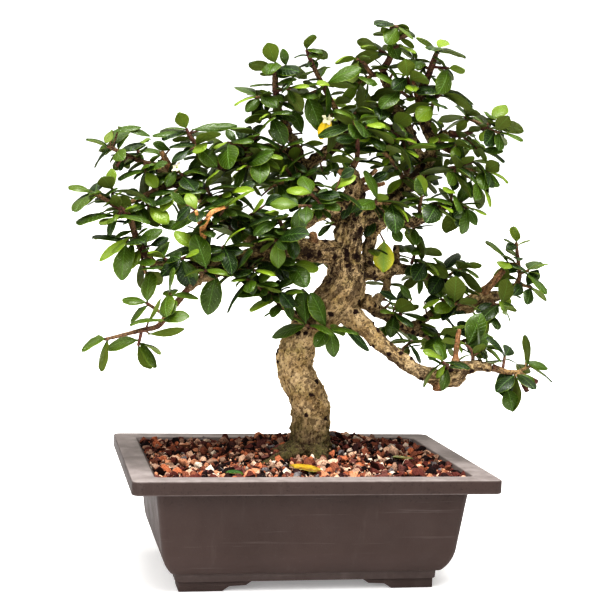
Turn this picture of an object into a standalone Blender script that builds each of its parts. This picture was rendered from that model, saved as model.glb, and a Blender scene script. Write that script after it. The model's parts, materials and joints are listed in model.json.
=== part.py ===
"""A fukien tea bonsai in its brown plastic training pot.

All sizes are in millimetres and turned into metres where a mesh is made. While the model is
built the middle of the pot is x = y = 0 and the pot's feet stand on z = 0, with +Y away from
the side that the tree is seen from. At the end everything moves sideways together, so that
the origin is below the middle of the whole bonsai.
"""

import math
import random

import bmesh
import bpy
from mathutils import Matrix, Vector
from mathutils.bvhtree import BVHTree

MM = 0.001
GAP = 0.35
UP = Vector((0, 0, 1))

# The pot: a shallow rectangular tray with a wide flat rim and four cloud-shaped feet
POT_LENGTH = 260.0
POT_DEPTH = 195.0
POT_HEIGHT = 86.0
RIM_HEIGHT = 10.0
RIM_WIDTH = 16.0
RIM_CHAMFER = 1.0
CORNER_RADIUS = 5.0
CORNER_STEPS = 2
BODY_INSET = 18.0
WALL = 3.0
WALL_LEAN = math.radians(7.4)
BOWL_TOP = 31.0
BOWL_RADIUS = 32.0
BOWL_END = math.radians(44)
BOWL_STEPS = 4
BAND_INSET = 35.2
FLOOR_TOP = 12.0
FOOT_HEIGHT = 7.5
FOOT_INSET = 37.4
FOOT_THICK = 12.0
FOOT_SINK = 1.0
FOOT_ARM_X = 53.0
FOOT_ARM_Y = 42.0
FOOT_STEP_RISE = 3.4
FOOT_STEP_RUN = 5.0
FOOT_TREAD = 12.0

# The soil: a bed of gravel, heaped up behind the trunk
SOIL_EDGE = 82.5
SOIL_MOUND = 11.0
MOUND_TOP = (25, 35)
MOUND_REACH = 85.0
GRAVEL_CELL = 11.0
GRAVEL_JITTER = 3.2
GRAVEL_RELIEF = 3.6
GRAVEL_SEED = 11

# The trunk's foot stands in a plain hole in the soil
TRUNK_SIDES = 10
TRUNK_FOOT = (13, 5)
TRUNK_FOOT_RADIUS = 15.0
TRUNK_FOOT_Z = 58.0

# Twigs and leaves
SPUR_RADIUS = 1.2
SPUR_SIDES = 3
STEM_SIDES = 4
STUB_RADIUS = 1.9
BLUNT_LENGTH = 1.0
BLUNT_TIP = 0.4
NODE_LENGTH = 1.6
LEAF_LENGTH = (19.0, 29.0)
YOUNG_LENGTH = 0.8
LEAF_SLIMNESS = (0.5, 0.6)
LEAF_WIDEST = 0.56
LEAF_SHOULDER = 0.86
LEAF_THICK = 1.0
SHOULDER_THICK = 0.8
PETIOLE_HALF = 0.9
PETIOLE_THICK = 1.5
YOUNG_OPENING = (8, 38)
SIDE_OPENING = (48, 98)
SIDE_TURN = 28
LEAF_ROLL = 26
LEAF_ARCH = (22, 58)
LEAF_LEVEL = 0.5
YOUNG_LEVEL = 0.8
FACE_UP = 0.9
FACE_OUT = 0.45

# How growth is kept apart. A leaf gets a little shorter at each new try, and may leave its twig
# beside another leaf only where the two point in clearly different directions. A spur's end may
# move by one of the nudges, and its root may slide along the stem.
CLEARANCE = 0.5
LEAF_TRIES = 16
TRY_SHRINK = 0.02
BLADE_START = 0.1
CROWD_SPACING = 3.4
CROWD_HEADING = 0.72
NUDGE_REACHES = (4, 7)
NUDGE_STEPS = (
    (0, 0, 1), (0, -1, 0), (0, 1, 0), (1, 0, 0), (-1, 0, 0), (0, 0, -1),
    (0.7, -0.7, 0), (-0.7, -0.7, 0), (0.7, 0.7, 0), (-0.7, 0.7, 0))
ROOT_SLIDES = (3.0, 2.0, 1.0, 0.0, -1.0, -2.0, -3.0)
PROBE_SIDES = 6

# Branches of the tree's own wood. Each row is x, y, z and radius. A branch starts inside the
# one that carries it. The points are set by hand along the middle of each limb.
BRANCHES = {
    "trunk": (
        (13, 5, 58, 15), (13, 5, 91, 15), (12, 5, 104, 14.2), (11, 4, 122, 14.4), (6, 3, 134, 14.2),
        (-1, 2, 146, 13.2), (-3, 2, 159, 13.2), (1, 2, 173, 13.2), (13, 4, 189, 13.8), (26, 6, 203, 15),
        (34, 8, 214, 16.4), (35, 8, 224, 13.8), (35, 8, 236, 11.8), (36, 8, 250, 10.4), (38, 8, 262, 9.6)),
    "left_primary": (
        (25, 6, 239, 8.5), (-2, -2, 240, 8), (-24, -8, 241, 7.6), (-41, -14, 234, 7), (-56, -20, 228, 6.4),
        (-72, -26, 228, 5.2), (-95, -30, 226, 4), (-114, -34, 228, 3.2)),
    "low_left": ((-53, -20, 227, 4), (-80, -40, 220, 3), (-91, -48, 212, 2.6)),
    "knot": ((41, 4, 262, 6), (40, -2, 277, 5), (34, -7, 291, 7), (32, -9, 299, 4.4), (33, -10, 303, 2.6)),
    "front_diagonal": ((34, -7, 288, 4.5), (26, -14, 276, 3.8), (11, -22, 269, 3.8), (-9, -30, 257, 3.4)),
    "left_limb": (
        (37, 10, 258, 6), (27, 16, 266, 4.5), (14, 22, 280, 4.5), (4, 26, 293, 5), (3, 28, 304, 5)),
    "left_limb_fork": (
        (3, 28, 302, 4.5), (-8, 26, 312, 4), (-26, 20, 315, 4), (-42, 14, 306, 4.5), (-62, 8, 299, 3.4)),
    "upper_mid": ((3, 28, 302, 4), (22, 26, 315, 4), (35, 24, 324, 3.4)),
    "top_left": ((1, 28, 308, 3.5), (-9, 24, 328, 3)),
    "right_limb": (
        (40, 8, 262, 7), (52, 12, 266, 6), (68, 16, 265, 4.6), (88, 18, 263, 4), (102, 18, 270, 3.6),
        (113, 18, 276, 3)),
    "right_upper": (
        (48, 12, 266, 6), (64, 18, 276, 5.5), (82, 24, 288, 5.2), (99, 30, 306, 5), (92, 32, 320, 4),
        (85, 34, 338, 4), (76, 34, 350, 4)),
    "right_top": (
        (98, 30, 306, 4.5), (107, 30, 323, 5), (101, 30, 335, 4.6), (94, 28, 347, 4.4), (93, 26, 364, 3.6)),
    "right_far": ((106, 30, 325, 4.5), (118, 30, 333, 3.2)),
    "apex": ((76, 34, 350, 3.6), (70, 30, 363, 3.4), (61, 26, 377, 3.2)),
    "lower_right": (
        (36, 6, 194, 9), (51, -6, 181, 6.4), (66, -14, 167, 5.6), (83, -20, 155, 5.2), (99, -24, 149, 5.6),
        (112, -26, 150, 7.5), (123, -28, 158, 4.6), (140, -32, 158, 3.2)),
    "mid_right": ((49, 10, 203, 6), (70, 22, 192, 4.2), (91, 34, 180, 3.8), (108, 42, 176, 3.2)),
    "right_block": (
        (96, 36, 179, 3.4), (113, 43, 190, 3.2), (131, 48, 194, 4), (147, 50, 198, 6.4), (156, 50, 205, 5.4),
        (173, 50, 206, 3)),
    "right_high": (
        (48, 14, 224, 7), (67, 24, 224, 5), (81, 32, 226, 4.2), (94, 40, 227, 3.2), (113, 48, 219, 2.4)),
    "riser": ((53, 18, 229, 5), (55, 20, 241, 4.4), (57, 18, 253, 4.2), (64, 16, 263, 4)),
    "cross_riser": ((58, 14, 202, 3.6), (70, 24, 207, 2.8), (73, 28, 223, 2.4)),
    "mid_riser": ((81, 32, 227, 2.2), (81, 34, 245, 1.8)),
    "front_low": ((6, -6, 181, 3.4), (-12, -20, 195, 2.6)),
    "far_left": (
        (-31, -8, 238, 4.5), (-48, 0, 252, 4), (-67, 4, 269, 3.8), (-82, 6, 280, 3.6), (-95, 6, 289, 3.2),
        (-109, 6, 298, 2.6)),
    "far_left_knob": ((-95, 6, 288, 3), (-112, -4, 280, 2.8)),
    "orange_fork": ((-76, -27, 229, 3), (-79, -34, 246, 2.6)),
    "back_left": ((14, 22, 280, 4), (-6, 42, 288, 3.6), (-30, 60, 296, 2.8)),
    "back_right": ((82, 24, 288, 4.4), (90, 48, 292, 3.6), (96, 66, 300, 2.8)),
    "back_low": ((35, 8, 224, 6), (28, 34, 232, 4), (16, 56, 238, 3)),
    "back_top": ((88, 33, 330, 3.6), (70, 52, 338, 3)),
}

# Stubs that pruning left: where each starts, where it was cut, and its radius
STUBS = (
    ((34, -7, 291), (22, -14, 300), 2.6),
    ((36, -6, 288), (51, -12, 302), 1.8),
    ((38, -4, 286), (57, -14, 292), 1.8),
    ((8, 0, 240), (6, -4, 254), 3.0),
    ((147, 50, 198), (131, 42, 203), 2.2),
    ((156, 50, 205), (171, 38, 228), 2.8),
    ((112, -26, 150), (116, -24, 186), 2.0),
    ((100, -24, 149), (101, -27, 140), 3.6),
    ((108, 30, 325), (126, 38, 318), 2.0),
    ((94, 28, 347), (84, 17, 371), 1.8),
    ((-95, 6, 289), (-108, 0, 309), 2.2),
    ((27, 16, 266), (18, 6, 284), 2.4),
)

# Leafy stems. Each has the branch that carries it, whether it goes on from that branch's end or
# leaves its side, the stem as x, y, z and radius, and the ends of its spurs as x, y, z and the
# number of leaves there. The first spur goes on from the stem's end and the others leave its side.
# A spur with no leaves is a pruned stub.
SPRAYS = {
    "hanging_left": ("low_left", "end",
        ((-104, -56, 197, 2.4), (-112, -60, 187, 2.1), (-124, -62, 184, 1.7), (-144, -66, 179, 1.3)),
        ((-149, -68, 178, 3), (-121, -62, 203, 3), (-125, -56, 173, 4),
            (-111, -71, 191, 3), (-105, -62, 210, 5))),
    "hanging_pair": ("low_left", "side",
        ((-81, -49, 225, 1.4),),
        ((-79, -55, 226, 4),)),
    "left_reach": ("left_primary", "end",
        ((-126, -36, 244, 2.6), (-133, -36, 262, 2.3), (-145, -38, 270, 1.8), (-154, -40, 275, 1.5)),
        ((-160, -41, 277, 4), (-144, -30, 280, 3), (-143, -47, 260, 3),
            (-136, -46, 243, 4), (-120, -42, 222, 3))),
    "left_under_a": ("left_primary", "side",
        ((-101, -41, 230, 1.4),),
        ((-108, -45, 233, 4), (-93, -50, 235, 4))),
    "left_under_b": ("left_primary", "side",
        ((-76, -39, 235, 1.4),),
        ((-85, -46, 241, 4), (-66, -46, 243, 4))),
    "left_under_c": ("left_primary", "side",
        ((-46, -32, 226, 1.4),),
        ((-56, -38, 223, 3), (-42, -42, 226, 4))),
    "left_under_d": ("left_primary", "side",
        ((-26, -22, 233, 1.4),),
        ((-29, -30, 228, 4), (-12, -25, 231, 3))),
    "front_low_twig": ("front_low", "end",
        ((-27, -28, 207, 2.2), (-43, -38, 217, 1.8)),
        ((-49, -42, 220, 3), (-20, -38, 210, 4))),
    "pruned_fork": ("orange_fork", "end",
        ((-80, -37, 255, 2.4),),
        ((-86, -40, 267, 4), (-64, -42, 271, 4))),
    "left_mid_a": ("far_left", "side",
        ((-71, -8, 276, 1.4),),
        ((-76, -13, 284, 4), (-58, -15, 281, 4))),
    "left_mid_b": ("far_left", "side",
        ((-52, -12, 260, 1.4),),
        ((-60, -20, 265, 4), (-43, -22, 266, 4))),
    "left_mid_c": ("far_left", "side",
        ((-88, -6, 286, 1.4),),
        ((-94, -12, 293, 4), (-99, -18, 279, 4))),
    "left_top_reach": ("far_left", "end",
        ((-122, 4, 301, 2), (-140, 0, 308, 1.5)),
        ((-147, 0, 311, 5), (-124, 10, 310, 4), (-119, -8, 293, 4), (-139, 7, 297, 0))),
    "left_knob_twig": ("far_left_knob", "end",
        ((-123, -8, 274, 2.4),),
        ((-133, -12, 270, 3), (-117, -20, 268, 4))),
    "left_crown": ("left_limb_fork", "end",
        ((-74, 4, 308, 2.4), (-87, 0, 320, 1.8)),
        ((-90, 0, 326, 5), (-84, -10, 313, 4))),
    "mid_crown": ("left_limb_fork", "side",
        ((-46, 4, 315, 1.6),),
        ((-60, -4, 317, 4), (-36, 2, 325, 5))),
    "mid_crown_front": ("left_limb_fork", "side",
        ((-43, 1, 303, 1.4),),
        ((-46, -7, 300, 3), (-34, -6, 308, 3))),
    "top_left_shoot": ("top_left", "end",
        ((-19, 20, 346, 2.6), (-22, 18, 360, 2.6), (-23, 16, 371, 2.2)),
        ((-23, 16, 378, 5), (-38, 12, 352, 5), (-12, 8, 360, 4), (-28, 6, 337, 4))),
    "top_mid_shoot": ("upper_mid", "end",
        ((29, 20, 340, 2.6), (19, 16, 355, 2.3), (9, 12, 370, 1.9), (1, 10, 384, 1.5)),
        ((-1, 10, 389, 3), (14, 1, 364, 5), (-1, 12, 355, 4), (18, 6, 340, 4), (40, 14, 345, 4))),
    "limb_side": ("left_limb", "side",
        ((-7, 14, 294, 1.4),),
        ((-14, 6, 300, 3), (-24, 4, 287, 4))),
    "front_diagonal_end": ("front_diagonal", "end",
        ((-19, -35, 250, 2.4),),
        ((-27, -38, 265, 5), (-31, -48, 248, 4))),
    "front_diagonal_side": ("front_diagonal", "side",
        ((5, -34, 275, 1.5),),
        ((-4, -40, 282, 4), (-14, -46, 273, 3), (15, -37, 286, 3))),
    "knot_shoot": ("knot", "end",
        ((36, -10, 309, 2), (35, -12, 327, 1.6)),
        ((31, -15, 337, 5), (40, -20, 333, 4))),
    "knot_side": ("knot", "side",
        ((46, -14, 276, 1.5),),
        ((49, -24, 279, 4), (62, -16, 277, 3))),
    "pale_twig": ("right_upper", "side",
        ((74, 14, 304, 2), (62, 6, 314, 1.8), (53, 0, 322, 1.5)),
        ((48, -3, 326, 4), (66, -2, 325, 3))),
    "apex_shoot": ("apex", "end",
        ((66, 22, 387, 2.7), (68, 20, 401, 2.4), (66, 20, 411, 2)),
        ((70, 14, 410, 4), (70, 11, 396, 1), (57, 20, 393, 3), (79, 18, 406, 0))),
    "apex_fork": ("apex", "side",
        ((53, 22, 374, 2), (45, 20, 383, 1.6)),
        ((39, 17, 385, 4), (41, 18, 367, 4))),
    "right_crown": ("right_top", "end",
        ((98, 24, 377, 2.8), (102, 22, 391, 2.2)),
        ((104, 21, 397, 3), (112, 18, 382, 4), (86, 27, 388, 4))),
    "right_crown_side": ("right_top", "side",
        ((104, 18, 360, 1.5),),
        ((109, 14, 367, 5), (98, 11, 352, 3))),
    "right_crown_left": ("right_top", "side",
        ((82, 18, 358, 1.5),),
        ((71, 12, 364, 4), (78, 12, 373, 4))),
    "inner_top": ("right_upper", "side",
        ((69, 24, 343, 1.5),),
        ((57, 20, 352, 4), (58, 12, 343, 4))),
    "inner_mid": ("right_upper", "side",
        ((78, 22, 326, 1.5),),
        ((67, 14, 334, 4), (77, 8, 318, 3))),
    "right_wing": ("right_far", "end",
        ((131, 32, 333, 2.4), (141, 32, 338, 1.8), (149, 28, 339, 1.5)),
        ((132, 36, 347, 4), (152, 28, 345, 5), (157, 22, 335, 5), (138, 22, 322, 4), (120, 18, 323, 3))),
    "right_shelf": ("right_upper", "side",
        ((110, 22, 305, 1.8), (124, 16, 307, 1.5)),
        ((116, 7, 303, 4), (136, 22, 312, 3), (149, 20, 304, 5), (138, 12, 295, 3))),
    "right_limb_end": ("right_limb", "end",
        ((123, 17, 280, 2),),
        ((130, 14, 276, 5), (115, 5, 288, 4))),
    "right_limb_side": ("right_limb", "side",
        ((90, 6, 275, 1.6),),
        ((89, -2, 283, 4), (102, 0, 278, 3))),
    "high_side": ("right_high", "side",
        ((96, 36, 237, 1.4),),
        ((96, 38, 244, 3), (104, 30, 232, 4))),
    "high_end": ("right_high", "end",
        ((127, 50, 219, 1.7),),
        ((122, 42, 227, 4), (141, 50, 229, 5), (136, 44, 212, 3))),
    "block_front": ("right_block", "side",
        ((135, 36, 202, 1.6),),
        ((128, 29, 200, 4), (117, 29, 204, 4))),
    "block_under": ("right_block", "side",
        ((165, 40, 200, 1.5),),
        ((169, 32, 200, 4), (158, 34, 190, 3))),
    "block_end": ("right_block", "end",
        ((183, 50, 212, 2.6), (189, 50, 222, 2), (185, 48, 243, 1.5)),
        ((184, 48, 250, 1), (194, 44, 228, 4), (176, 44, 233, 4), (197, 44, 214, 4))),
    "mid_right_end": ("mid_right", "end",
        ((129, 48, 165, 2.2), (145, 52, 169, 1.8)),
        ((152, 50, 173, 4), (136, 40, 178, 4), (118, 36, 176, 4))),
    "mid_right_side": ("mid_right", "side",
        ((84, 24, 191, 1.5),),
        ((75, 16, 193, 4),)),
    "lower_right_end": ("lower_right", "end",
        ((151, -34, 155, 2.2), (162, -36, 155, 1.6)),
        ((155, -41, 153, 4), (170, -34, 160, 4), (152, -26, 166, 4),
            (166, -40, 141, 0), (175, -36, 148, 0))),
    "lower_right_top": ("lower_right", "side",
        ((128, -22, 168, 1.5),),
        ((125, -16, 173, 3), (137, -24, 172, 3))),
    "knob_leaves": ("lower_right", "side",
        ((104, -37, 160, 1.5),),
        ((98, -43, 163, 4),)),
    "lower_right_mid": ("lower_right", "side",
        ((78, -9, 169, 1.5),),
        ((86, -3, 174, 4),)),
    "trunk_sprout": ("trunk", "side",
        ((9, -14, 184, 2),),
        ((-1, -21, 186, 4), (18, -20, 184, 4))),
    "back_left_shoot": ("back_left", "end",
        ((-46, 72, 302, 2),),
        ((-58, 78, 304, 4), (-40, 82, 312, 4), (-50, 70, 316, 4))),
    "back_right_shoot": ("back_right", "end",
        ((102, 78, 310, 2),),
        ((112, 84, 316, 4), (92, 84, 316, 4), (116, 72, 306, 4))),
    "back_low_shoot": ("back_low", "end",
        ((6, 70, 244, 2),),
        ((-6, 76, 250, 4), (14, 80, 254, 4), (-8, 66, 240, 4))),
    "back_top_shoot": ("back_top", "end",
        ((56, 64, 346, 2),),
        ((46, 68, 352, 4), (62, 74, 356, 4), (44, 60, 340, 4))),
}

# Sprays whose named spur, counted from 0, ends in a flower
FLOWERS = {"flower_left": ("left_mid_c", 0), "flower_top": ("top_mid_shoot", 3)}
FLOWER_STALK = 5.0
STALK_RADIUS = 0.55
FLOWER_RADIUS = 5.0
PETALS = 5

# Leaves that have dropped on the gravel: x, y, heading in degrees and length
FALLEN = {
    "fallen_leaf_green": (-62, -64, 35, 17),
    "fallen_leaf_yellow": (-14, -46, -12, 24),
    "fallen_leaf_pale": (84, -24, 120, 20),
}

# Blunt knots on the bark
KNOB_SEED = 5
KNOB_SIDES = 4
KNOB_GIRTH = (1.4, 2.2)
KNOB_RISE = (0.7, 1.5)
TRUNK_KNOBS = 20
TRUNK_KNOB_START = 0.16
BRANCH_KNOBS = 5


def clear_scene():
    for old in list(bpy.data.objects):
        bpy.data.objects.remove(old, do_unlink=True)


def plain_material(name, colour, roughness):
    """A Principled material with the colour that this part of the bonsai has."""
    material = bpy.data.materials.new(name)
    material.use_nodes = True
    shader = material.node_tree.nodes["Principled BSDF"]
    shader.inputs["Base Color"].default_value = (*colour, 1.0)
    shader.inputs["Roughness"].default_value = roughness
    shader.inputs["Metallic"].default_value = 0.0
    return material


def mesh_object(name, shape, material=None, collection=None):
    """An object from points in millimetres and faces, with its faces pointing outwards."""
    points, faces = shape
    mesh = bpy.data.meshes.new(name)
    mesh.from_pydata([tuple(Vector(point) * MM) for point in points], [], faces)
    shell = bmesh.new()
    shell.from_mesh(mesh)
    bmesh.ops.recalc_face_normals(shell, faces=shell.faces)
    shell.to_mesh(mesh)
    shell.free()
    if material:
        mesh.materials.append(material)
    obj = bpy.data.objects.new(name, mesh)
    (collection or bpy.context.scene.collection).objects.link(obj)
    return obj


def boolean(obj, others, operation):
    """Joins, cuts or trims obj by the other shapes, applies the result and drops the helpers."""
    helpers = bpy.data.collections.new(obj.name + "_helpers")
    bpy.context.scene.collection.children.link(helpers)
    for index, shape in enumerate(others):
        mesh_object(f"{obj.name}_helper_{index}", shape, collection=helpers)
    step = obj.modifiers.new(operation.title(), "BOOLEAN")
    step.operation = operation
    step.operand_type = "COLLECTION"
    step.collection = helpers
    step.solver = "EXACT"
    evaluated = obj.evaluated_get(bpy.context.evaluated_depsgraph_get())
    joined = bpy.data.meshes.new_from_object(evaluated)
    obj.modifiers.clear()
    old = obj.data
    obj.data = joined
    bpy.data.meshes.remove(old)
    for helper in list(helpers.objects):
        bpy.data.objects.remove(helper, do_unlink=True)
    bpy.data.collections.remove(helpers)


def lofted(rings):
    """A closed skin over rings of equally many points, with flat ends."""
    points = [point for ring in rings for point in ring]
    size = len(rings[0])
    faces = [tuple(range(size))[::-1]]
    for row in range(len(rings) - 1):
        for spoke in range(size):
            beside = (spoke + 1) % size
            faces.append((row * size + spoke, row * size + beside,
                          (row + 1) * size + beside, (row + 1) * size + spoke))
    faces.append(tuple((len(rings) - 1) * size + spoke for spoke in range(size)))
    return points, faces


def tube(route, sides, headings=(None, None)):
    """A tapering limb along a route of (point, radius), with flat ends."""
    places = [Vector(place) for place, _ in route]
    runs = [(b - a).normalized() for a, b in zip(places, places[1:])]
    first = headings[0] or runs[0]
    last = headings[1] or runs[-1]
    tangents = [first] + [(a + b).normalized() for a, b in zip(runs, runs[1:])] + [last]
    side = tangents[0].orthogonal().normalized()
    if abs(tangents[0].z) > 0.99:
        side = Vector((1, 0, 0))
    rings = []
    for place, tangent, (_, radius) in zip(places, tangents, route):
        side = (side - tangent * side.dot(tangent)).normalized()
        other = tangent.cross(side)
        rings.append([
            place + radius * (math.cos(turn) * side + math.sin(turn) * other)
            for turn in (2 * math.pi * step / sides for step in range(sides))])
    return lofted(rings)


def limb_sides(radius):
    """Thicker limbs have more sides."""
    if radius > 10:
        return TRUNK_SIDES
    return 7 if radius > 5 else 6 if radius > 3 else 5


def split_row(row):
    return Vector(row[:3]), row[3]


def branch_route(name):
    return [split_row(row) for row in BRANCHES[name]]


# The pot

def pot_ring(inset, height, radius=CORNER_RADIUS):
    """A rounded rectangle, inset from the rim's outline, with points at each corner."""
    half_x = POT_LENGTH / 2 - inset
    half_y = POT_DEPTH / 2 - inset
    ring = []
    for quarter, (sign_x, sign_y) in enumerate(((1, 1), (-1, 1), (-1, -1), (1, -1))):
        for step in range(CORNER_STEPS + 1):
            turn = math.pi / 2 * (quarter + step / CORNER_STEPS)
            ring.append(Vector((
                sign_x * (half_x - radius) + radius * math.cos(turn),
                sign_y * (half_y - radius) + radius * math.sin(turn),
                height)))
    return ring


def wall_inset(height):
    """How far the straight upper wall lies inside the rim's outline."""
    return BODY_INSET + (POT_HEIGHT - RIM_HEIGHT - height) * math.tan(WALL_LEAN)


def bowl_profile(thickness, last_angle):
    """The curve by which the wall turns in under the pot, as (inset, height)."""
    centre_inset = wall_inset(BOWL_TOP) + BOWL_RADIUS * math.cos(WALL_LEAN)
    centre_z = BOWL_TOP + BOWL_RADIUS * math.sin(WALL_LEAN)
    radius = BOWL_RADIUS - thickness
    turns = [WALL_LEAN + (last_angle - WALL_LEAN) * step / BOWL_STEPS for step in range(BOWL_STEPS + 1)]
    return [(centre_inset - radius * math.cos(turn), centre_z - radius * math.sin(turn)) for turn in turns]


def inner_profile(extra=0.0):
    """The pot's inside from the rim's inner edge down to the floor, as (inset, height)."""
    under_rim = POT_HEIGHT - RIM_HEIGHT
    wall_top = wall_inset(under_rim) + WALL
    rows = [(RIM_WIDTH, POT_HEIGHT), (wall_top - 0.4, POT_HEIGHT - RIM_HEIGHT / 2), (wall_top, under_rim)]
    floor_angle = math.radians(52)
    rows += [row for row in bowl_profile(WALL, floor_angle) if row[1] > FLOOR_TOP + 1]
    rows.append((rows[-1][0] + 5, FLOOR_TOP))
    return [(inset + extra, height + (extra if height < FLOOR_TOP + 1 else 0)) for inset, height in rows]


def pot_body():
    under_rim = POT_HEIGHT - RIM_HEIGHT
    profile = [(BAND_INSET, FOOT_HEIGHT), (BAND_INSET - 0.3, 13.0)]
    profile += bowl_profile(0.0, BOWL_END)[::-1][1:]
    profile += [
        (BODY_INSET, under_rim), (RIM_CHAMFER, under_rim), (0, under_rim + RIM_CHAMFER),
        (0, POT_HEIGHT - RIM_CHAMFER), (RIM_CHAMFER, POT_HEIGHT)]
    profile += inner_profile()
    return lofted([pot_ring(inset, height) for inset, height in profile])


def foot_arm(sign_x, sign_y, along_x):
    """One arm of a corner foot: a slab whose free end rises in two steps to the pot's floor."""
    length = FOOT_ARM_X if along_x else FOOT_ARM_Y
    flat = length - 2 * FOOT_STEP_RUN - FOOT_TREAD
    top = FOOT_HEIGHT + FOOT_SINK
    outline = (
        (0, 0), (flat, 0), (flat + FOOT_STEP_RUN, FOOT_STEP_RISE),
        (flat + FOOT_STEP_RUN + FOOT_TREAD, FOOT_STEP_RISE + 0.6),
        (length, FOOT_HEIGHT), (length, top), (0, top))
    corner_x = POT_LENGTH / 2 - FOOT_INSET
    corner_y = POT_DEPTH / 2 - FOOT_INSET
    rings = []
    for depth in (0, FOOT_THICK):
        ring = []
        for run, height in outline:
            inward_x, inward_y = (run, depth) if along_x else (depth, run)
            ring.append(Vector((sign_x * (corner_x - inward_x), sign_y * (corner_y - inward_y), height)))
        rings.append(ring)
    return lofted(rings)


def make_pot():
    material = plain_material("pot_brown_plastic", (0.095, 0.068, 0.055), 0.55)
    pot = mesh_object("pot", pot_body(), material)
    arms = [
        foot_arm(sign_x, sign_y, along_x)
        for sign_x in (-1, 1) for sign_y in (-1, 1) for along_x in (True, False)]
    boolean(pot, arms, "UNION")


# The soil

def mound_height(x, y):
    """The level of the gravel bed: highest behind the trunk and lower towards the rim."""
    away = math.hypot(x - MOUND_TOP[0], y - MOUND_TOP[1]) / MOUND_REACH
    return SOIL_EDGE + SOIL_MOUND * max(0.0, 1 - away) ** 1.3


def gravel_slab():
    """A slab wider than the pot, whose top is broken up into gravel."""
    draw = random.Random(GRAVEL_SEED)
    columns = int(POT_LENGTH // GRAVEL_CELL)
    rows = int(POT_DEPTH // GRAVEL_CELL)
    top = []
    for row in range(rows + 1):
        for column in range(columns + 1):
            x = (column - columns / 2) * GRAVEL_CELL + draw.uniform(-GRAVEL_JITTER, GRAVEL_JITTER)
            y = (row - rows / 2) * GRAVEL_CELL + draw.uniform(-GRAVEL_JITTER, GRAVEL_JITTER)
            height = mound_height(x, y) + draw.uniform(-0.35, 0.65) * GRAVEL_RELIEF
            top.append(Vector((x, y, height)))
    width = columns + 1
    count = len(top)
    points = top + [Vector((point.x, point.y, 0)) for point in top]
    faces = []
    for row in range(rows):
        for column in range(columns):
            a = row * width + column
            b, c, d = a + 1, a + 1 + width, a + width
            faces += [(a, b, c), (a, c, d)] if (row + column) % 2 else [(a, b, d), (b, c, d)]
            faces.append((d + count, c + count, b + count, a + count))
    border = list(range(width))
    border += [row * width + columns for row in range(1, rows + 1)]
    border += [rows * width + column for column in range(columns - 1, -1, -1)]
    border += [row * width for row in range(rows - 1, 0, -1)]
    for here, there in zip(border, border[1:] + border[:1]):
        faces.append((here, here + count, there + count, there))
    return points, faces


def cavity():
    """The room inside the pot, a gap smaller all round and open above the rim."""
    profile = inner_profile(GAP)[::-1]
    profile.append((RIM_WIDTH + GAP, POT_HEIGHT + 20))
    return lofted([pot_ring(inset, height) for inset, height in profile])


def make_soil():
    material = plain_material("soil_gravel", (0.20, 0.09, 0.055), 0.95)
    soil = mesh_object("soil", cavity(), material)
    boolean(soil, [gravel_slab()], "INTERSECT")
    foot = Vector((*TRUNK_FOOT, TRUNK_FOOT_Z - GAP))
    top = Vector((*TRUNK_FOOT, POT_HEIGHT + 40))
    hole = tube([(foot, TRUNK_FOOT_RADIUS + GAP), (top, TRUNK_FOOT_RADIUS + GAP)], TRUNK_SIDES)
    boolean(soil, [hole], "DIFFERENCE")
    return soil


# The wood

def surface_knobs(name, count, draw, start=0.0):
    """Short blunt knots on a limb, pointing out of its bark."""
    route = branch_route(name)
    shapes = []
    for index in range(count):
        place = start + (1 - start) * (index + draw.random()) / count
        step, share = divmod(place * (len(route) - 1), 1)
        (a, radius_a), (b, radius_b) = route[int(step)], route[min(int(step) + 1, len(route) - 1)]
        middle = a.lerp(b, share)
        radius = radius_a + (radius_b - radius_a) * share
        axis = (b - a).normalized()
        out = Matrix.Rotation(draw.uniform(0, 2 * math.pi), 3, axis) @ axis.orthogonal().normalized()
        girth = draw.uniform(*KNOB_GIRTH)
        root = middle + out * radius * 0.6
        tip = middle + out * (radius + draw.uniform(*KNOB_RISE))
        shapes.append(tube([(root, girth * 1.2), (tip, girth * 0.7)], KNOB_SIDES))
    return shapes


def wood_shapes():
    """Every limb and stub of the tree's own wood."""
    shapes = []
    for name in BRANCHES:
        route = branch_route(name)
        shapes.append(tube(route, limb_sides(max(radius for _, radius in route[:2]))))
    for start, cut, radius in STUBS:
        shapes.append(tube([(Vector(start), radius * 1.15), (Vector(cut), radius)], 5))
    draw = random.Random(KNOB_SEED)
    shapes += surface_knobs("trunk", TRUNK_KNOBS, draw, TRUNK_KNOB_START)
    shapes += surface_knobs("left_primary", BRANCH_KNOBS, draw)
    shapes += surface_knobs("lower_right", BRANCH_KNOBS, draw)
    return shapes


def make_wood():
    material = plain_material("bark", (0.33, 0.25, 0.17), 0.9)
    shapes = wood_shapes()
    boolean(mesh_object("tree_wood", shapes[0], material), shapes[1:], "UNION")


# Where the twigs and leaves go

def nearest_on_route(point, route):
    """The closest place on a route to a point, with the radius and heading there."""
    best = None
    for (a, radius_a), (b, radius_b) in zip(route, route[1:]):
        run = b - a
        share = min(1.0, max(0.0, (point - a).dot(run) / run.length_squared))
        place = a + run * share
        away = (point - place).length
        if best is None or away < best[0]:
            best = (away, place, radius_a + (radius_b - radius_a) * share, run.normalized())
    return best[1:]


def wood_distance(point, routes):
    """How far a point lies outside the bark of the nearest limb or stub."""
    best = None
    for route in routes:
        place, radius, _ = nearest_on_route(point, route)
        away = (point - place).length - radius
        if best is None or away < best:
            best = away
    return best


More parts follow.
